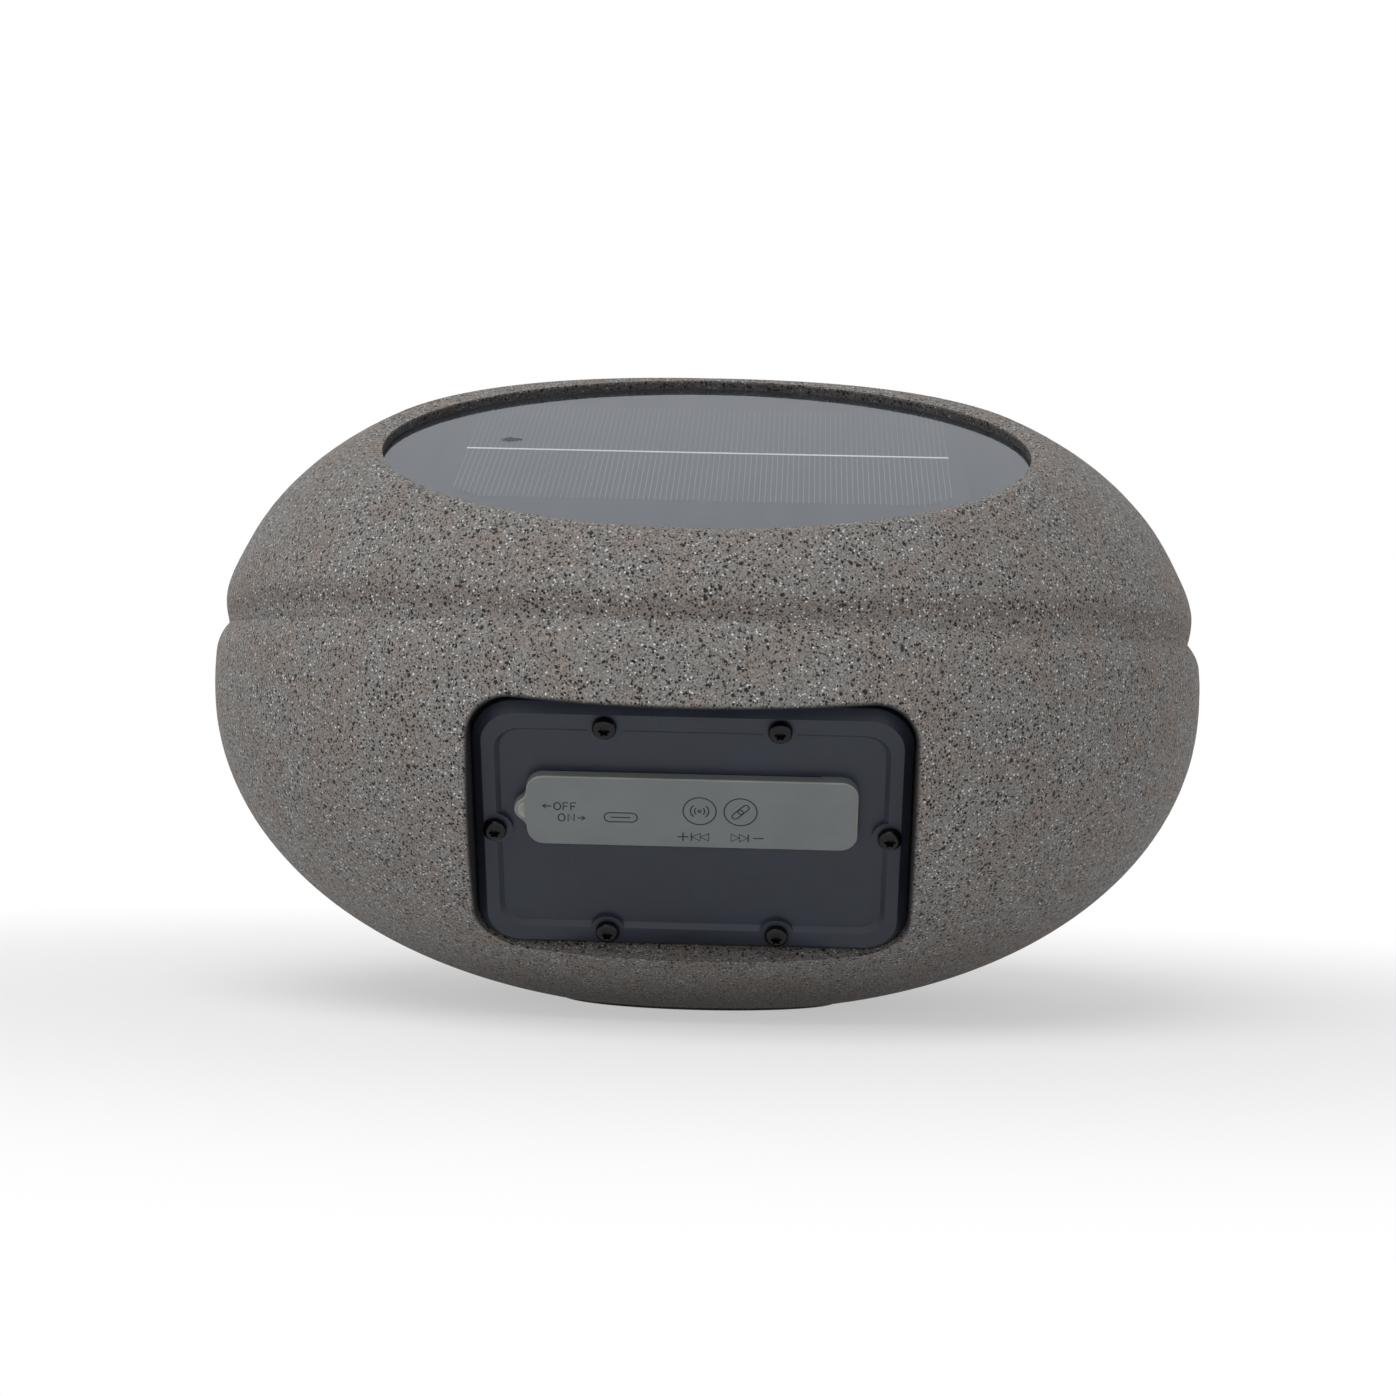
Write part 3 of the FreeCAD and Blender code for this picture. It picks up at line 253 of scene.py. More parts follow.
class StageLook(bpy.types.PropertyGroup):
    """Floor, light and camera."""
    floor: colour("Floor", "Colour of the floor", 246, 246, 246)
    ambient: share("Ambient", "Level of the even light from all sides", 0.38)
    key: power("Key", "Power of the high light", 17.0)
    front: power("Front", "Power of the low front light", 4.0)
    back: power("Back", "Power of each low light behind", 4.0)
    place: bpy.props.FloatVectorProperty(name="Camera", description="Place of the camera",
                                         subtype="TRANSLATION", unit="LENGTH",
                                         default=(0.0228, -0.8216, 0.0712))
    heading: angle("Heading", "Turn of the view to the left of +Y", 1.748)
    pitch: angle("Pitch", "Upward tilt of the view", 0.4)
    roll: angle("Roll", "Turn of the camera about its view", 1.375)
    lens: bpy.props.FloatProperty(name="Lens", description="Focal length", unit="CAMERA", default=82.5)


class SpeakerLook(bpy.types.PropertyGroup):
    """All the finishes of the speaker."""
    stone: bpy.props.PointerProperty(type=StoneLook)
    panel: bpy.props.PointerProperty(type=PanelLook)
    plate: bpy.props.PointerProperty(type=PlateLook)
    flap: bpy.props.PointerProperty(type=FlapLook)
    stage: bpy.props.PointerProperty(type=StageLook)


def look():
    return bpy.context.scene.speaker_look


# Shader helpers

def put(tree, socket, value):
    """Links another node's output to the socket, or sets the socket's own value."""
    if isinstance(value, bpy.types.NodeSocket):
        tree.links.new(value, socket)
    elif socket.type == "RGBA":
        socket.default_value = (*value[:3], 1)
    else:
        socket.default_value = value


def node(tree, kind, inputs=None, **settings):
    """Adds a node, sets its own settings, and fills or links the inputs named."""
    made = tree.nodes.new(kind)
    for name, value in settings.items():
        setattr(made, name, value)
    for name, value in (inputs or {}).items():
        put(tree, made.inputs[name], value)
    return made


def maths(tree, operation, *values, clamp=False):
    inputs = dict(enumerate(values))
    return node(tree, "ShaderNodeMath", inputs, operation=operation, use_clamp=clamp).outputs[0]


def mixed(tree, factor, first, second):
    """Colour that goes from first to second with the factor."""
    made = node(tree, "ShaderNodeMix", data_type="RGBA")
    for index, value in ((0, factor), (6, first), (7, second)):
        put(tree, made.inputs[index], value)
    return made.outputs[2]


def spread(tree, value, low, high, to_low=0.0, to_high=1.0, smooth=True):
    """Value that goes from to_low to to_high as the given one goes from low to high, and stays there."""
    kind = "SMOOTHSTEP" if smooth else "LINEAR"
    inputs = {"Value": value, "From Min": low, "From Max": high, "To Min": to_low, "To Max": to_high}
    return node(tree, "ShaderNodeMapRange", inputs, interpolation_type=kind).outputs["Result"]


def object_coordinates(tree):
    return node(tree, "ShaderNodeTexCoord").outputs["Object"]


def axes(tree, vector):
    return node(tree, "ShaderNodeSeparateXYZ", {"Vector": vector}).outputs


def own_axes(tree, vector, middle, turn):
    """Place in a tilted piece's own axes: x across it, y up its slope and z out of it."""
    inputs = {"Vector": vector, "Location": middle, "Rotation": (turn, 0, 0)}
    return axes(tree, node(tree, "ShaderNodeMapping", inputs, vector_type="TEXTURE").outputs[0])


def noise(tree, vector, scale, detail, roughness=0.5):
    inputs = {"Vector": vector, "Scale": scale, "Detail": detail, "Roughness": roughness}
    return node(tree, "ShaderNodeTexNoise", inputs).outputs[0]


def seen_directly(tree):
    """One for rays from the camera and for those that mirrors and glass send on."""
    rays = node(tree, "ShaderNodeLightPath").outputs
    seen = maths(tree, "ADD", rays["Is Camera Ray"], rays["Is Glossy Ray"])
    return maths(tree, "ADD", seen, rays["Is Transmission Ray"], clamp=True)


def group(name, inputs, outputs):
    """An empty shader group with the sockets named; returns its tree and the outputs of its input node."""
    tree = bpy.data.node_groups.new(name, "ShaderNodeTree")
    for socket, kind, default in inputs:
        made = tree.interface.new_socket(socket, in_out="INPUT", socket_type="NodeSocket" + kind)
        if default is not None:
            made.default_value = default
    for socket, kind in outputs:
        tree.interface.new_socket(socket, in_out="OUTPUT", socket_type="NodeSocket" + kind)
    return tree, tree.nodes.new("NodeGroupInput").outputs


def finish_group(tree, **results):
    out = tree.nodes.new("NodeGroupOutput")
    for name, socket in results.items():
        tree.links.new(socket, out.inputs[name])


def use(tree, pattern, **inputs):
    """Places a shader group in a material with its own values."""
    made = tree.nodes.new("ShaderNodeGroup")
    made.node_tree = bpy.data.node_groups[pattern]
    for name, value in inputs.items():
        put(tree, made.inputs[name], value)
    return made.outputs


def specks_group():
    """Round specks of uneven size: a share of the cells of a cell pattern holds one each."""
    sockets = [("Vector", "Vector", None), ("Scale", "Float", 600.0), ("Radius", "Float", 0.3),
               ("Share", "Float", 0.5)]
    tree, given = group("Specks", sockets, [("Mask", "Float")])
    cells = node(tree, "ShaderNodeTexVoronoi", {"Vector": given["Vector"], "Scale": given["Scale"]},
                 voronoi_dimensions="3D", feature="F1").outputs
    wobble = noise(tree, given["Vector"], 2200.0, 1.0)
    chance = node(tree, "ShaderNodeSeparateColor", {"Color": cells["Color"]}).outputs
    held = maths(tree, "LESS_THAN", chance[0], given["Share"])
    size = maths(tree, "MULTIPLY", given["Radius"], maths(tree, "MULTIPLY_ADD", chance[1], 0.9, 0.45))
    distance = maths(tree, "MULTIPLY_ADD", wobble, 0.5, maths(tree, "SUBTRACT", cells["Distance"], 0.25))
    inside = spread(tree, maths(tree, "DIVIDE", distance, size), 1.0, 0.88)
    finish_group(tree, Mask=maths(tree, "MULTIPLY", inside, held))


def grain_group():
    """Fine moulded grain: a height for bump and a tone that varies slowly."""
    sockets = [("Vector", "Vector", None), ("Size", "Float", 0.4 * MM), ("Patch", "Float", 12 * MM)]
    tree, given = group("Grain", sockets, [("Height", "Float"), ("Tone", "Float")])
    fine = noise(tree, given["Vector"], maths(tree, "DIVIDE", 1.0, given["Size"]), 3.0, 0.6)
    slow = noise(tree, given["Vector"], maths(tree, "DIVIDE", 1.0, given["Patch"]), 4.0, 0.55)
    finish_group(tree, Height=fine, Tone=slow)


def scuffs_group():
    """Faint rubs: short streaks that show only in places."""
    tree, given = group("Scuffs", [("Vector", "Vector", None), ("Share", "Float", 0.3)], [("Mask", "Float")])
    stretched = {"Vector": given["Vector"], "Scale": (900.0, 140.0, 140.0)}
    streaks = node(tree, "ShaderNodeMapping", stretched).outputs[0]
    lines = noise(tree, streaks, 1.0, 2.0)
    places = noise(tree, given["Vector"], 55.0, 2.0)
    seen = spread(tree, places, 0.52, 0.68)
    thin = spread(tree, lines, 0.6, 0.72)
    finish_group(tree, Mask=maths(tree, "MULTIPLY", maths(tree, "MULTIPLY", thin, seen), given["Share"]))


def material(name):
    """A new material with its tree and its one Principled shader."""
    made = bpy.data.materials.new(name)
    made.use_nodes = True
    return made, made.node_tree, made.node_tree.nodes["Principled BSDF"]


def fill(tree, shader, **inputs):
    """Sets or links the shader's sockets; a name's underscores stand for spaces."""
    for name, value in inputs.items():
        put(tree, shader.inputs[name.replace("_", " ")], value)


def bump(tree, height, depth, strength=1.0):
    inputs = {"Height": height, "Distance": depth, "Strength": strength}
    return node(tree, "ShaderNodeBump", inputs).outputs["Normal"]


# Materials

def recess_shade_mask(tree, vector, tilt):
    """Painted shade: rises down the wall of the panel's recess, from its rim."""
    half_y = (COVER_HIGH.y - COVER_LOW.y) / 2 / math.cos(tilt)
    spot = own_axes(tree, vector, PANEL_MIDDLE, tilt)
    across = maths(tree, "POWER", maths(tree, "DIVIDE", spot[0], PANEL_HALF_X + RECESS_REACH), 2.0)
    along = maths(tree, "POWER", maths(tree, "DIVIDE", spot[1], half_y + RECESS_REACH), 2.0)
    oval = spread(tree, maths(tree, "ADD", across, along), 1.0, 0.994)
    wall = spread(tree, spot[2], RIM_TOP, SHADE_FULL, 0.0, RECESS_SHADE)
    above = spread(tree, spot[2], RECESS_LOW - 1 * MM, RECESS_LOW)
    return maths(tree, "MULTIPLY", oval, maths(tree, "MULTIPLY", wall, above))


def window_shade_mask(tree, vector):
    """Painted shade: one on the top and side walls of the control window and on a soft halo round its edge,
    none on the sill at the bottom.
    """
    at = own_axes(tree, vector, PLATE_MIDDLE, PLATE_TURN)
    before = maths(tree, "MAXIMUM", at[2], 0.0)
    level = maths(tree, "MULTIPLY_ADD", before, -math.tan(WINDOW_LEAN), at[1])
    rise = maths(tree, "ABSOLUTE", maths(tree, "SUBTRACT", level, WINDOW_RISE))
    edge_x = maths(tree, "SUBTRACT", maths(tree, "ABSOLUTE", at[0]), WINDOW_HALF.x - WINDOW_CORNER)
    edge_y = maths(tree, "SUBTRACT", rise, WINDOW_HALF.y - WINDOW_CORNER)
    outside = {0: maths(tree, "MAXIMUM", edge_x, 0.0), 1: maths(tree, "MAXIMUM", edge_y, 0.0)}
    beyond = node(tree, "ShaderNodeCombineXYZ", outside).outputs[0]
    reach = node(tree, "ShaderNodeVectorMath", {0: beyond}, operation="LENGTH").outputs["Value"]
    side = spread(tree, reach, WINDOW_CORNER + WINDOW_HALO[1], WINDOW_CORNER + WINDOW_HALO[0])
    front = spread(tree, at[2], WINDOW_FRONT + 2 * MM, WINDOW_FRONT)
    back = spread(tree, at[2], WINDOW_BACK - 1 * MM, WINDOW_BACK)
    inside = maths(tree, "MULTIPLY", side, maths(tree, "MULTIPLY", front, back))
    return maths(tree, "MULTIPLY", inside, spread(tree, level, *SILL))


def lip_shade_mask(tree, vector):
    """Painted shade: one on the band just over the seam, which rises a little between the front, the back and
    the sides.
    """
    spot = axes(tree, vector)
    turn = maths(tree, "ARCTAN2", spot[1], spot[0])
    wave = maths(tree, "POWER", maths(tree, "SINE", maths(tree, "MULTIPLY", turn, 2.0)), 2.0)
    height = maths(tree, "MULTIPLY_ADD", wave, -LIP_WAVE, maths(tree, "SUBTRACT", spot[2], SEAM_Z))
    starts = spread(tree, height, 0.0, LIP_EDGE)
    return maths(tree, "MULTIPLY", starts, spread(tree, height, LIP_FADE[1], LIP_FADE[0]))


def stone_material():
    """Stone coat: a grey ground with warm patches, fine grain, dark specks of three sizes and pale ones, with
    painted shade over the seam and in the pockets.
    """
    stone = look().stone
    made, tree, shader = material("stone_coat")
    at = object_coordinates(tree)
    grain = use(tree, "Grain", Vector=at, Size=0.5 * MM, Patch=stone.patch)
    large = use(tree, "Specks", Vector=at, Scale=1 / stone.large, Radius=0.25, Share=0.55)["Mask"]
    medium = use(tree, "Specks", Vector=at, Scale=1 / stone.medium, Radius=0.31, Share=0.65)["Mask"]
    fine = use(tree, "Specks", Vector=at, Scale=1 / stone.fine, Radius=0.34, Share=0.6)["Mask"]
    white = use(tree, "Specks", Vector=at, Scale=1 / stone.white, Radius=0.25,
                Share=spread(tree, grain["Tone"], 0.35, 0.65, 0.8, 0.3))["Mask"]
    lip_shade = lip_shade_mask(tree, at)
    # Painted shade on the band over the seam: it takes the warm colour and a darker ground
    warmth_and_shade = maths(tree, "MAXIMUM", spread(tree, grain["Tone"], 0.44, 0.62), lip_shade)
    tone = mixed(tree, warmth_and_shade, stone.ground, stone.warm)
    speckle_and_shade = spread(tree, grain["Height"], 0.3, 0.7, 0.36, 1.7, smooth=False)
    speckle_and_shade = maths(tree, "MULTIPLY", speckle_and_shade, spread(tree, lip_shade, 0.0, 1.0, 1.0, 0.84, smooth=False))
    ground = node(tree, "ShaderNodeVectorMath", {0: tone, "Scale": speckle_and_shade}, operation="SCALE").outputs[0]
    coat = mixed(tree, maths(tree, "MULTIPLY", white, 0.92), ground, stone.pale)
    coat = mixed(tree, maths(tree, "MULTIPLY", fine, 0.85), coat, stone.dark)
    coarse = maths(tree, "MAXIMUM", medium, large)
    coat = mixed(tree, maths(tree, "MULTIPLY", coarse, 0.96), coat, stone.dark)
    # Painted shade in the panel's recess and the control window
    pockets = maths(tree, "MAXIMUM", recess_shade_mask(tree, at, look().panel.tilt), window_shade_mask(tree, at))
    coat = mixed(tree, pockets, coat, stone.pocket_shade)
    relief = maths(tree, "MULTIPLY_ADD", white, 0.5, grain["Height"])
    relief = maths(tree, "MULTIPLY_ADD", large, -0.5, relief)
    rough = spread(tree, grain["Height"], 0.3, 0.7, 0.7, 0.95)
    fill(tree, shader, Base_Color=coat, Roughness=maths(tree, "MULTIPLY_ADD", large, -0.2, rough),
         Specular_IOR_Level=0.3, Normal=bump(tree, relief, stone.relief, 0.8))
    return made


def moulded_material(name, base, rough, size, depth, scuffed=0.0, specular=0.5):
    """Moulded, coated or painted finish: fine grain, slow change of tone and faint rubs."""
    made, tree, shader = material(name)
    at = object_coordinates(tree)
    grain = use(tree, "Grain", Vector=at, Size=size, Patch=14 * MM)
    scuffs = use(tree, "Scuffs", Vector=at, Share=scuffed)["Mask"]
    darker = tuple(channel * 0.86 for channel in base)
    paler = tuple(min(channel * 1.6 + 0.02, 1) for channel in base)
    tone = mixed(tree, spread(tree, grain["Tone"], 0.35, 0.65), darker, base)
    wear_and_highlight = mixed(tree, scuffs, tone, paler)
    gloss = spread(tree, grain["Tone"], 0.3, 0.7, rough - 0.06, rough + 0.06, smooth=False)
    fill(tree, shader, Base_Color=wear_and_highlight, Roughness=maths(tree, "MULTIPLY_ADD", scuffs, 0.15, gloss),
         Specular_IOR_Level=specular, Normal=bump(tree, grain["Height"], depth))
    return made


def flap_material(flap):
    """Flap rubber, with a painted highlight along its rim and on its tab."""
    made, tree, shader = material("flap_rubber")
    at = object_coordinates(tree)
    grain = use(tree, "Grain", Vector=at, Size=0.3 * MM, Patch=14 * MM)
    spot = own_axes(tree, at, FLAP_MIDDLE, PLATE_TURN)
    # Painted highlight on the rounded rim and the end of the tab, made uneven by the grain
    rim = maths(tree, "MULTIPLY", spread(tree, spot[2], -0.04 * flap.edge, -0.24 * flap.edge),
                spread(tree, spot[2], -flap.edge, -0.5 * flap.edge))
    end = -flap.width / 2
    tab = spread(tree, spot[0], end - 0.2 * flap.tab, end - 0.6 * flap.tab, 0.0, 0.2)
    uneven = spread(tree, grain["Tone"], 0.3, 0.6, 0.5, 0.9)
    wear_and_highlight = maths(tree, "MULTIPLY", maths(tree, "MAXIMUM", rim, tab), uneven)
    darker = tuple(channel * 0.92 for channel in flap.rubber)
    tone = mixed(tree, spread(tree, grain["Tone"], 0.35, 0.65), darker, flap.rubber)
    fill(tree, shader, Base_Color=mixed(tree, wear_and_highlight, tone, flap.rim_highlight),
         Roughness=spread(tree, grain["Height"], 0.3, 0.7, 0.52, 0.62),
         Normal=bump(tree, grain["Height"], 0.012 * MM))
    return made


def cell_material():
    """Silicon with fine printed lines across it."""
    panel = look().panel
    made, tree, shader = material("silicon_cell")
    at = object_coordinates(tree)
    grain = use(tree, "Grain", Vector=at, Size=0.8 * MM, Patch=20 * MM)
    phase = maths(tree, "FRACT", maths(tree, "DIVIDE", axes(tree, at)[0], panel.pitch))
    offset = maths(tree, "ABSOLUTE", maths(tree, "SUBTRACT", phase, 0.5))
    half_line = panel.line / panel.pitch / 2
    lines = spread(tree, offset, half_line * 1.3, half_line * 0.7)
    up_slope = own_axes(tree, at, PANEL_MIDDLE, panel.tilt)[1]
    beside = maths(tree, "SUBTRACT", up_slope, RIBBON_Y / math.cos(panel.tilt))
    faded = spread(tree, beside, -0.2 * PANEL_HALF_X, 0.2 * PANEL_HALF_X, 1.0, 0.6)
    printed = maths(tree, "MULTIPLY", lines, spread(tree, grain["Tone"], 0.3, 0.6, 0.6, 1.0))
    printed = maths(tree, "MULTIPLY", printed, faded)
    deep = tuple(channel * 0.8 for channel in panel.cell)
    base = mixed(tree, grain["Tone"], deep, panel.cell)
    fill(tree, shader, Base_Color=mixed(tree, printed, base, panel.finger),
         Roughness=spread(tree, grain["Height"], 0.3, 0.7, 0.4, 0.55), Normal=bump(tree, lines, 0.02 * MM))
    return made


def cover_material():
    """Clear cover, bonded to the panel: it shines on its face and shows no second shine below."""
    made, tree, shader = material("clear_cover")
    at = object_coordinates(tree)
    grain = use(tree, "Grain", Vector=at, Size=1.5 * MM, Patch=30 * MM)
    rough = spread(tree, grain["Tone"], 0.3, 0.7, 0.015, 0.04, smooth=False)
    height = own_axes(tree, at, PANEL_MIDDLE, look().panel.tilt)[2]
    face = spread(tree, height, COVER_TOP - 0.4 * MM, COVER_TOP - 0.2 * MM)
    fill(tree, shader, Base_Color=(0.93, 0.96, 1.0), Roughness=rough, IOR=1.47, Transmission_Weight=1.0,
         Thin_Film_Thickness=FILM_NANOMETRES, Thin_Film_IOR=FILM_INDEX, Alpha=face,
         Normal=bump(tree, grain["Height"], 0.0004 * MM))
    rays = node(tree, "ShaderNodeLightPath").outputs
    lit = maths(tree, "MAXIMUM", rays["Is Shadow Ray"], rays["Is Diffuse Ray"])
    clear = node(tree, "ShaderNodeBsdfTransparent")
    both = node(tree, "ShaderNodeMixShader", {0: lit, 1: shader.outputs[0], 2: clear.outputs[0]})
    tree.links.new(both.outputs[0], tree.nodes["Material Output"].inputs["Surface"])
    return made


def cloth_material(name, base, pitch):
    """Woven cloth: two crossing sets of threads."""
    made, tree, shader = material(name)
    at = object_coordinates(tree)
    grain = use(tree, "Grain", Vector=at, Size=0.3 * MM, Patch=8 * MM)
    spot = axes(tree, at)
    turn = 2 * math.pi / pitch
    warp = maths(tree, "SINE", maths(tree, "MULTIPLY", spot[0], turn))
    weft = maths(tree, "SINE", maths(tree, "MULTIPLY", maths(tree, "ADD", spot[1], spot[2]), turn))
    weave = maths(tree, "MULTIPLY_ADD", maths(tree, "MULTIPLY", warp, weft), 0.5, 0.5)
    darker = tuple(channel * 0.5 for channel in base)
    fill(tree, shader, Base_Color=mixed(tree, weave, darker, base), Specular_IOR_Level=0.2,
         Roughness=spread(tree, grain["Tone"], 0.3, 0.7, 0.85, 0.97), Normal=bump(tree, weave, 0.15 * MM))
    return made


def brushed_material(name, base, rough):
    """Plain metal with fine draw marks."""
    made, tree, shader = material(name)
    at = object_coordinates(tree)
    grain = use(tree, "Grain", Vector=at, Size=0.6 * MM, Patch=6 * MM)
    drawn = node(tree, "ShaderNodeMapping", {"Vector": at, "Scale": (300.0, 4000.0, 300.0)}).outputs[0]
    marks = noise(tree, drawn, 1.0, 2.0)
    darker = tuple(channel * 0.75 for channel in base)
    fill(tree, shader, Base_Color=mixed(tree, grain["Tone"], darker, base), Metallic=1.0,
         Roughness=spread(tree, marks, 0.3, 0.7, rough - 0.08, rough + 0.1),
         Normal=bump(tree, marks, 0.01 * MM))
    return made


def dress(finish, *names):
    """Gives CAD nodes a finish."""
    for name in names:
        slots = frame["nodes"][name].data.materials
        slots.clear()
        slots.append(finish)


# New pieces

def mesh_piece(name, mesh, finish):
    mesh.materials.clear()
    mesh.materials.append(finish)
    piece = bpy.data.objects.new(name, mesh)
    bpy.context.scene.collection.objects.link(piece)
    return piece


def rounded(bm, corners, radius, segments):
    """Rounds corner points of a flat outline."""
    bmesh.ops.bevel(bm, geom=corners, offset=radius, offset_type="OFFSET", segments=segments, profile=0.5,
                    affect="VERTICES", material=-1, clamp_overlap=True)


def flap_mesh(flap):
    """Flat pad with a pull tab at its left end and a foot at its hinge end, outer face at z = 0."""
    bm = bmesh.new()
    half_x, half_y, tab = flap.width / 2, flap.height / 2, flap.tab
    foot_start = HINGE.x + PAST_HINGE
    right = [(half_x, -half_y), (half_x, half_y)]
    root = tab * 1.25
    left = [(-half_x, half_y), (-half_x, root), (-half_x - tab, tab * 0.62)]
    outline = right + left + [(x, -y) for x, y in left[::-1]]
    points = [bm.verts.new((x, y, 0)) for x, y in outline]
    bm.faces.new(points)
    rounded(bm, [points[i] for i in (0, 1, 2, 7)], flap.corner, 8)
    bm.verts.ensure_lookup_table()
    tips = [v for v in bm.verts if v.co.x < -half_x - tab / 2]
    rounded(bm, tips, tab * 0.6, 8)
    roots = [v for v in bm.verts if abs(v.co.x + half_x) < 1e-6 and abs(abs(v.co.y) - root) < 1e-6]
    rounded(bm, roots, tab * 0.55, 6)
    shell = bmesh.ops.extrude_face_region(bm, geom=bm.faces[:])
    low = [v for v in shell["geom"] if isinstance(v, bmesh.types.BMVert)]
    bmesh.ops.translate(bm, verts=low, vec=(0, 0, -flap.depth))
    bmesh.ops.recalc_face_normals(bm, faces=bm.faces)
    rim = [e for e in bm.edges if all(abs(v.co.z) < 1e-9 for v in e.verts)]
    bmesh.ops.bevel(bm, geom=rim, offset=flap.edge, offset_type="OFFSET", segments=4, profile=0.5,
                    affect="EDGES", material=-1, clamp_overlap=True)
    rows = 16
    tab_start = -half_x - tab * 0.1
    cuts = [foot_start - flap.bend * i / rows for i in range(rows + 1)] + [tab_start]
    for x in cuts:
        whole = bm.verts[:] + bm.edges[:] + bm.faces[:]
        bmesh.ops.bisect_plane(bm, geom=whole, plane_co=(x, 0, 0), plane_no=(1, 0, 0))
    grip = [f for f in bm.faces if f.normal.z > 0.99 and f.calc_center_median().x < tab_start]
    for inset, drop in ((0.08, 0.0), (0.1, 0.07), (0.14, 0.05)):
        bmesh.ops.inset_region(bm, faces=grip, thickness=flap.tab * inset, depth=-flap.tab * drop)
    foot = [f for f in bm.faces if f.normal.z < -0.99 and f.calc_center_median().x > foot_start]
    sunk = bmesh.ops.extrude_face_region(bm, geom=foot)
    bmesh.ops.delete(bm, geom=foot, context="FACES_ONLY")
    sole = [v for v in sunk["geom"] if isinstance(v, bmesh.types.BMVert)]
    bmesh.ops.translate(bm, verts=sole, vec=(0, 0, -FOOT_DROP))
    bmesh.ops.recalc_face_normals(bm, faces=bm.faces)
    for face in bm.faces:
        face.smooth = True
    bm.transform(FLAP_FRAME)
    mesh = bpy.data.meshes.new("flap_pad")
    bm.to_mesh(mesh)
    bm.free()
    mesh.set_sharp_from_angle(angle=math.radians(35))
    return mesh


def arc(x, y, radius, start, end, steps=24):
    angles = [math.radians(start + (end - start) * i / steps) for i in range(steps + 1)]
    return [(x + radius * math.cos(a), y + radius * math.sin(a)) for a in angles]


def letter(kind, x, y, wide, tall):
    """Strokes of a plain capital with its lower left corner at x, y."""
    right, top, middle = x + wide, y + tall, y + tall * 0.52
    if kind == "O":
        ring = arc(0, 0, 1, 0, 360)
        return [[(x + wide * (1 + px) / 2, y + tall * (1 + py) / 2) for px, py in ring]]
    if kind == "F":
        return [[(x, y), (x, top), (right, top)], [(x, middle), (right - wide * 0.15, middle)]]
    return [[(x, y), (x, top), (right, y), (right, top)]]


def arrow(x, y, reach):
    """Small arrow along x from its tip at x + reach back to x."""
    tip, barb = x + reach, 0.55
    back = math.copysign(0.75, reach)
    return [[(x, y), (tip, y)], [(tip - back, y + barb), (tip, y), (tip - back, y - barb)]]


def skip(x, y, way, wide=1.9, tall=1.05):
    """Two outlined triangles that point one way, and a bar before their tips."""
    strokes = []
    for i in (0, 1):
        base = x - way * wide * i
        strokes.append([(base, y), (base - way * wide, y + tall), (base - way * wide, y - tall), (base, y)])
    return strokes + [[(x + way * 0.1, y + tall), (x + way * 0.1, y - tall)]]


def links(x, y):
    """Two linked rounded rings, leaning."""
    strokes = []
    for side in (-1, 1):
        ring = arc(side * 0.95 + 0.75, 0, 0.72, -90, 90, 8) + arc(side * 0.95 - 0.75, 0, 0.72, 90, 270, 8)
        ring.append(ring[0])
        strokes.append([(x + (px - py) * 0.7071, y + (px + py) * 0.7071) for px, py in ring])
    return strokes


def mark_strokes():
    """Lines of all the marks, in millimetres from the flap's middle."""
    strokes = arrow(-31.9, 1.3, -1.9) + arrow(-25.9, -1.8, 1.7)
    for kind, x, wide in (("O", -31.2, 1.5), ("F", -29.1, 1.15), ("F", -27.35, 1.15)):
        strokes += letter(kind, x, 0.3, wide, 2.0)
    for kind, x, wide in (("O", -30.27, 1.5), ("N", -28.05, 1.4)):
        strokes += letter(kind, x, -2.8, wide, 2.0)
    port_left, port_right, port_y, port_radius = -18.6, -13.6, -1.4, 1.25
    port = arc(port_right, port_y, port_radius, -90, 90, 10)
    port += arc(port_left, port_y, port_radius, 90, 270, 10)
    strokes += [port + port[:1], [(port_left + 0.3, port_y), (port_right - 0.3, port_y)]]
    pair_x, link_x, ring_y, skip_y = 1.75, 11.0, 0.85, -6.35
    for x in (pair_x, link_x):
        strokes.append(arc(x, ring_y, 3.72, 0, 360, 64))
    strokes.append(arc(pair_x, ring_y, 0.35, 0, 360, 12))
    for radius in (1.15, 2.05):
        strokes += [arc(pair_x, ring_y, radius, turn - 48, turn + 48, 14) for turn in (0, 180)]
    strokes += links(link_x, ring_y)
    strokes += [[(-3.2, skip_y), (-0.8, skip_y)], [(-2.0, skip_y + 1.15), (-2.0, skip_y - 1.15)]]
    strokes += [[(13.9, skip_y), (16.3, skip_y)]]
    strokes += skip(0.0, skip_y, -1) + skip(12.7, skip_y, 1)
    return strokes


def marks_mesh(flap):
    """Fine beads along the strokes, mostly sunk into the flap's outer face."""
    curve = bpy.data.curves.new("flap_mark_lines", "CURVE")
    curve.dimensions = "3D"
    curve.bevel_depth = flap.stroke / 2
    curve.bevel_resolution = 1
    curve.use_fill_caps = True
    for points in mark_strokes():
        line = curve.splines.new("POLY")
        line.use_cyclic_u = (Vector(points[0]) - Vector(points[-1])).length < 1e-6
        points = points[:-1] if line.use_cyclic_u else points
        line.points.add(len(points) - 1)
        for spot, (x, y) in zip(line.points, points):
            spot.co = (x * MM, y * MM, -flap.stroke * 0.32, 1)
    holder = bpy.data.objects.new("flap_mark_lines", curve)
    mesh = bpy.data.meshes.new_from_object(holder)
    bpy.data.objects.remove(holder)
    mesh.transform(FLAP_FRAME)
    return mesh


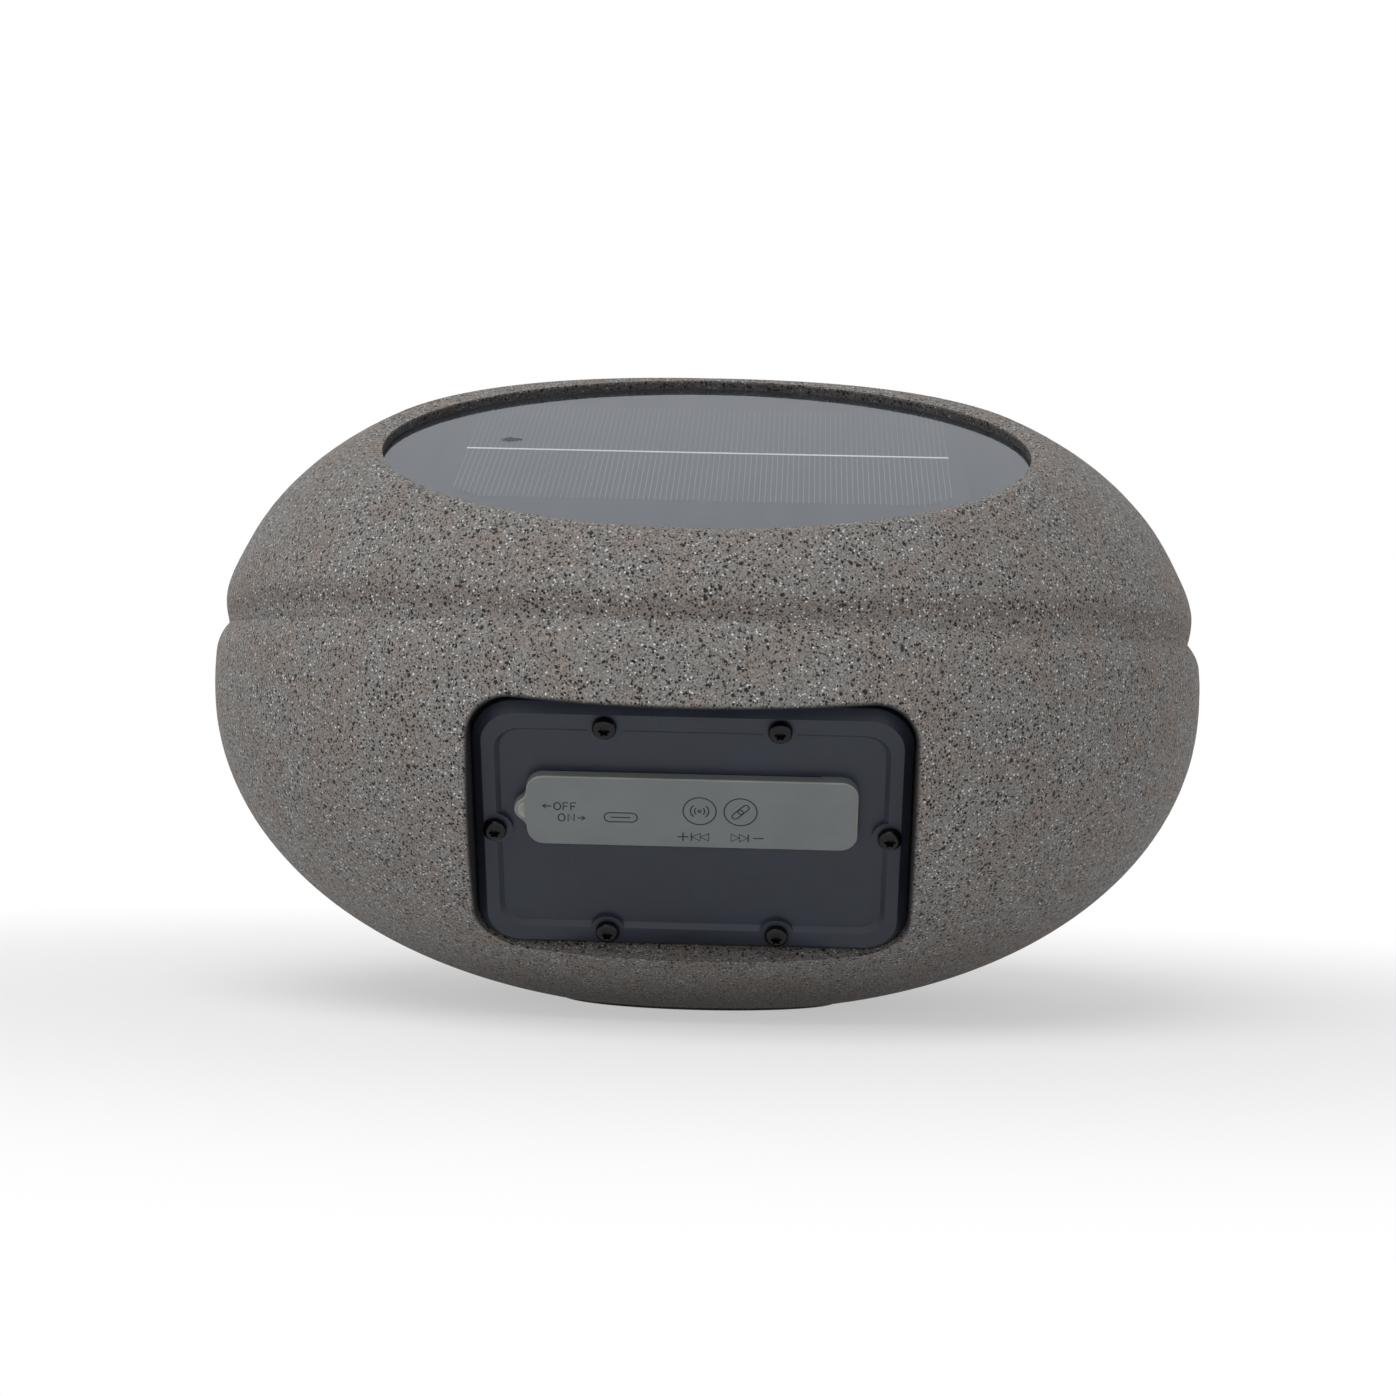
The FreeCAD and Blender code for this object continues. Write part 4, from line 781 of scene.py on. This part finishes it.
def stain_mesh(panel):
    """Small uneven film on the panel's cover."""
    bm = bmesh.new()
    ring = bmesh.ops.create_circle(bm, cap_ends=True, radius=panel.stain / 2, segments=24)["verts"]
    for i, point in enumerate(ring):
        point.co *= 0.75 + 0.22 * math.sin(3 * i) + 0.12 * math.sin(7 * i + 1)
        point.co.y *= 0.75
    bmesh.ops.solidify(bm, geom=bm.faces[:], thickness=STAIN_THICKNESS)
    bmesh.ops.recalc_face_normals(bm, faces=bm.faces)
    turn = Matrix.Rotation(panel.tilt, 4, "X")
    top = PANEL_MIDDLE + turn @ Vector((STAIN_X, STAIN_Y, COVER_TOP + 1.5 * STAIN_THICKNESS))
    bm.transform(Matrix.Translation(top) @ turn)
    mesh = bpy.data.meshes.new("cover_stain")
    bm.to_mesh(mesh)
    bm.free()
    return mesh


# Operators, one for each group of like pieces

class SPEAKER_OT_patterns(bpy.types.Operator):
    """Build the shader groups that several finishes share"""
    bl_idname = "speaker.patterns"
    bl_label = "Shared patterns"

    def execute(self, context):
        specks_group()
        grain_group()
        scuffs_group()
        return {"FINISHED"}


class SPEAKER_OT_stone_body(bpy.types.Operator):
    """Give the shells and the screw plugs their stone coat, and the foot, seals and surround their rubber"""
    bl_idname = "speaker.stone_body"
    bl_label = "Stone body"

    def execute(self, context):
        dress(stone_material(), "lower_shell", "upper_shell", "screw_plugs")
        rubber = moulded_material("black_rubber", srgb(22, 22, 23), 0.72, 0.3 * MM, 0.03 * MM, 0.3)
        dress(rubber, "foot_pad", "seam_gasket", "plate_gasket", "driver_gasket", "driver_surround")
        return {"FINISHED"}


class SPEAKER_OT_solar_panel(bpy.types.Operator):
    """Finish the solar panel under its clear cover, and the small stain on it"""
    bl_idname = "speaker.solar_panel"
    bl_label = "Solar panel"

    def execute(self, context):
        panel = look().panel
        dress(cover_material(), "solar_cover")
        dress(cell_material(), "solar_cell")
        dress(moulded_material("panel_board", tuple(panel.cell), 0.5, 0.5 * MM, 0.01 * MM), "solar_backboard")
        dress(moulded_material("tinned_ribbon", tuple(panel.ribbon), 0.4, 0.3 * MM, 0.02 * MM), "cell_ribbon")
        dress(moulded_material("adhesive_foam", srgb(40, 40, 42), 0.9, 0.2 * MM, 0.05 * MM), "solar_seal")
        stain = moulded_material("stain_film", srgb(58, 62, 68), 0.7, 0.4 * MM, 0.01 * MM)
        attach(mesh_piece("cover_stain", stain_mesh(panel), stain), "body")
        return {"FINISHED"}


class SPEAKER_OT_control_plate(bpy.types.Operator):
    """Finish the control plate and its screws"""
    bl_idname = "speaker.control_plate"
    bl_label = "Control plate"

    def execute(self, context):
        plate = look().plate
        plastic = moulded_material("plate_plastic", tuple(plate.plate), 0.42, plate.grain, 0.012 * MM,
                                   0.1, 0.4)
        dress(plastic, "control_plate")
        screws = moulded_material("black_screws", tuple(plate.screw), 0.2, 0.25 * MM, 0.015 * MM, 0.1, 0.3)
        dress(screws, "plate_screws")
        return {"FINISHED"}


class SPEAKER_OT_port_flap(bpy.types.Operator):
    """Model the rubber flap as one piece, cut in rows where it meets its hinge, with its marks"""
    bl_idname = "speaker.port_flap"
    bl_label = "Port flap"

    def execute(self, context):
        flap = look().flap
        pad = mesh_piece("flap_pad", flap_mesh(flap), flap_material(flap))
        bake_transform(pad)
        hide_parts("port_flap", "port_flap_anchor")
        ink = moulded_material("mark_ink", tuple(flap.ink), 0.6, 0.2 * MM, 0.01 * MM)
        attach(mesh_piece("flap_marks", marks_mesh(flap), ink), "flap")
        return {"FINISHED"}


class SPEAKER_OT_switches(bpy.types.Operator):
    """Finish the switch, the buttons, the socket, the board behind the plate and the plain steel pieces"""
    bl_idname = "speaker.switches"
    bl_label = "Switches and board"

    def execute(self, context):
        black = moulded_material("black_plastic", srgb(30, 30, 32), 0.5, 0.3 * MM, 0.015 * MM, 0.3)
        dress(black, "charge_socket_tongue", "power_switch_case", "power_switch_slider", "button_switches",
              "pair_button", "link_button", "board_parts")
        board = moulded_material("board_lacquer", srgb(24, 74, 52), 0.35, 0.5 * MM, 0.02 * MM, 0.1)
        dress(board, "control_board", "radio_module")
        white = moulded_material("white_plastic", srgb(224, 219, 206), 0.45, 0.4 * MM, 0.01 * MM)
        dress(white, "lead_connectors")
        steel = brushed_material("zinc_steel", srgb(176, 178, 182), 0.34)
        dress(steel, "charge_socket_shell", "board_screws", "shell_screws", "bracket_screws", "driver_screws",
              "battery_bracket", "driver_basket", "driver_top_plate", "driver_yoke")
        return {"FINISHED"}


class SPEAKER_OT_loudspeaker(bpy.types.Operator):
    """Finish the grille, the cloth and the loudspeaker behind them"""
    bl_idname = "speaker.loudspeaker"
    bl_label = "Loudspeaker"

    def execute(self, context):
        coat = moulded_material("grille_coat", srgb(46, 46, 48), 0.55, 0.35 * MM, 0.04 * MM, 0.25)
        dress(coat, "grille")
        dress(cloth_material("grille_cloth", srgb(34, 34, 36), 0.8 * MM), "grille_cloth")
        paper = moulded_material("coated_paper", srgb(40, 40, 42), 0.8, 0.5 * MM, 0.06 * MM)
        dress(paper, "driver_cone", "dust_cap")
        dress(brushed_material("enamelled_wire", srgb(184, 112, 62), 0.3), "voice_coil")
        dress(cloth_material("treated_cloth", srgb(196, 160, 92), 0.7 * MM), "driver_spider")
        dress(moulded_material("ferrite", srgb(52, 52, 55), 0.6, 0.5 * MM, 0.04 * MM), "driver_magnet")
        return {"FINISHED"}


class SPEAKER_OT_battery(bpy.types.Operator):
    """Finish the battery pack and the leads"""
    bl_idname = "speaker.battery"
    bl_label = "Battery and leads"

    def execute(self, context):
        film = moulded_material("shrink_film", srgb(42, 84, 150), 0.3, 0.8 * MM, 0.03 * MM, 0.2)
        dress(film, "battery_pack")
        sleeve = moulded_material("lead_sleeve", srgb(36, 36, 38), 0.5, 0.4 * MM, 0.02 * MM)
        dress(sleeve, "solar_lead", "driver_lead", "battery_lead")
        return {"FINISHED"}


class SPEAKER_OT_stage(bpy.types.Operator):
    """Set the floor, the light and the camera"""
    bl_idname = "speaker.stage"
    bl_label = "Stage"

    def execute(self, context):
        stage = look().stage
        context.scene.view_settings.view_transform = "Standard"
        self.set_floor(stage)
        self.set_world(stage)
        self.add_lamp("key", KEY_PLACE, KEY_WIDTH, stage.key, mirrored=True)
        self.add_lamp("front", FRONT_PLACE, FRONT_WIDTH, stage.front)
        self.add_lamp("back_left", BACK_PLACE * Vector((-1, 1, 1)), BACK_WIDTH, stage.back)
        self.add_lamp("back_right", BACK_PLACE, BACK_WIDTH, stage.back)
        self.set_camera(stage)
        return {"FINISHED"}

    def set_floor(self, stage):
        bm = bmesh.new()
        bmesh.ops.create_circle(bm, cap_ends=True, radius=FLOOR_RADIUS, segments=96)
        mesh = bpy.data.meshes.new("floor")
        bm.to_mesh(mesh)
        bm.free()
        made, tree, shader = material("floor_paper")
        at = object_coordinates(tree)
        away = node(tree, "ShaderNodeVectorMath", {0: at}, operation="LENGTH").outputs["Value"]
        fill(tree, shader, Base_Color=stage.floor, Roughness=0.9, Specular_IOR_Level=0.0)
        white = node(tree, "ShaderNodeEmission", {"Color": (1, 1, 1), "Strength": 1.0})
        far = spread(tree, away, *WHITE_RING, NEAR_WHITE, 1.0)
        share_white = maths(tree, "MULTIPLY", far, seen_directly(tree))
        both = node(tree, "ShaderNodeMixShader", {0: share_white, 1: shader.outputs[0], 2: white.outputs[0]})
        tree.links.new(both.outputs[0], tree.nodes["Material Output"].inputs["Surface"])
        mesh.materials.append(made)
        floor = bpy.data.objects.new("floor", mesh)
        bpy.context.scene.collection.objects.link(floor)

    def set_world(self, stage):
        world = bpy.data.worlds.new("studio")
        bpy.context.scene.world = world
        world.use_nodes = True
        tree = world.node_tree
        level = spread(tree, seen_directly(tree), 0.0, 1.0, stage.ambient, 1.0, smooth=False)
        back = tree.nodes["Background"]
        back.inputs["Color"].default_value = (1, 1, 1, 1)
        tree.links.new(level, back.inputs["Strength"])

    def add_lamp(self, name, place, width, watts, mirrored=False):
        """Adds a round soft lamp that faces the speaker; only a mirrored one shows in shiny surfaces."""
        lamp = bpy.data.lights.new(name, "AREA")
        lamp.shape = "DISK"
        lamp.size = width
        lamp.energy = watts
        holder = bpy.data.objects.new(name, lamp)
        holder.visible_glossy = mirrored
        holder.location = place
        aim = (CAD_BOX[0] + CAD_BOX[1]) / 2 - place
        holder.rotation_euler = aim.to_track_quat("-Z", "Y").to_euler()
        bpy.context.scene.collection.objects.link(holder)

    def set_camera(self, stage):
        lens = bpy.data.cameras.new("view")
        lens.lens = stage.lens
        lens.sensor_width = 36.0
        lens.clip_start = 0.01
        camera = bpy.data.objects.new("view", lens)
        level = math.cos(stage.pitch)
        side, forward = -math.sin(stage.heading), math.cos(stage.heading)
        ahead = Vector((side * level, forward * level, math.sin(stage.pitch)))
        turn = ahead.to_track_quat("-Z", "Y").to_matrix().to_4x4() @ Matrix.Rotation(stage.roll, 4, "Z")
        camera.matrix_world = Matrix.Translation(stage.place) @ turn
        bpy.context.scene.collection.objects.link(camera)
        bpy.context.scene.camera = camera


STEPS = (SPEAKER_OT_patterns, SPEAKER_OT_stone_body, SPEAKER_OT_solar_panel, SPEAKER_OT_control_plate,
         SPEAKER_OT_port_flap, SPEAKER_OT_switches, SPEAKER_OT_loudspeaker, SPEAKER_OT_battery,
         SPEAKER_OT_stage)


class SPEAKER_PT_finishes(bpy.types.Panel):
    """Lists the steps that finish the speaker"""
    bl_idname = "SPEAKER_PT_finishes"
    bl_label = "Garden speaker"
    bl_space_type = "VIEW_3D"
    bl_region_type = "UI"
    bl_category = "Speaker"

    def draw(self, context):
        for step in STEPS:
            self.layout.operator(step.bl_idname)


CLASSES = (StoneLook, PanelLook, PlateLook, FlapLook, StageLook, SpeakerLook, *STEPS, SPEAKER_PT_finishes)


def register():
    for item in CLASSES:
        bpy.utils.register_class(item)
    bpy.types.Scene.speaker_look = bpy.props.PointerProperty(type=SpeakerLook)


def unregister():
    del bpy.types.Scene.speaker_look
    for item in reversed(CLASSES):
        bpy.utils.unregister_class(item)


def main():
    register()
    bpy.ops.speaker.patterns()
    bpy.ops.speaker.stone_body()
    bpy.ops.speaker.solar_panel()
    bpy.ops.speaker.control_plate()
    bpy.ops.speaker.port_flap()
    bpy.ops.speaker.switches()
    bpy.ops.speaker.loudspeaker()
    bpy.ops.speaker.battery()
    bpy.ops.speaker.stage()


if __name__ == "__main__":
    main()
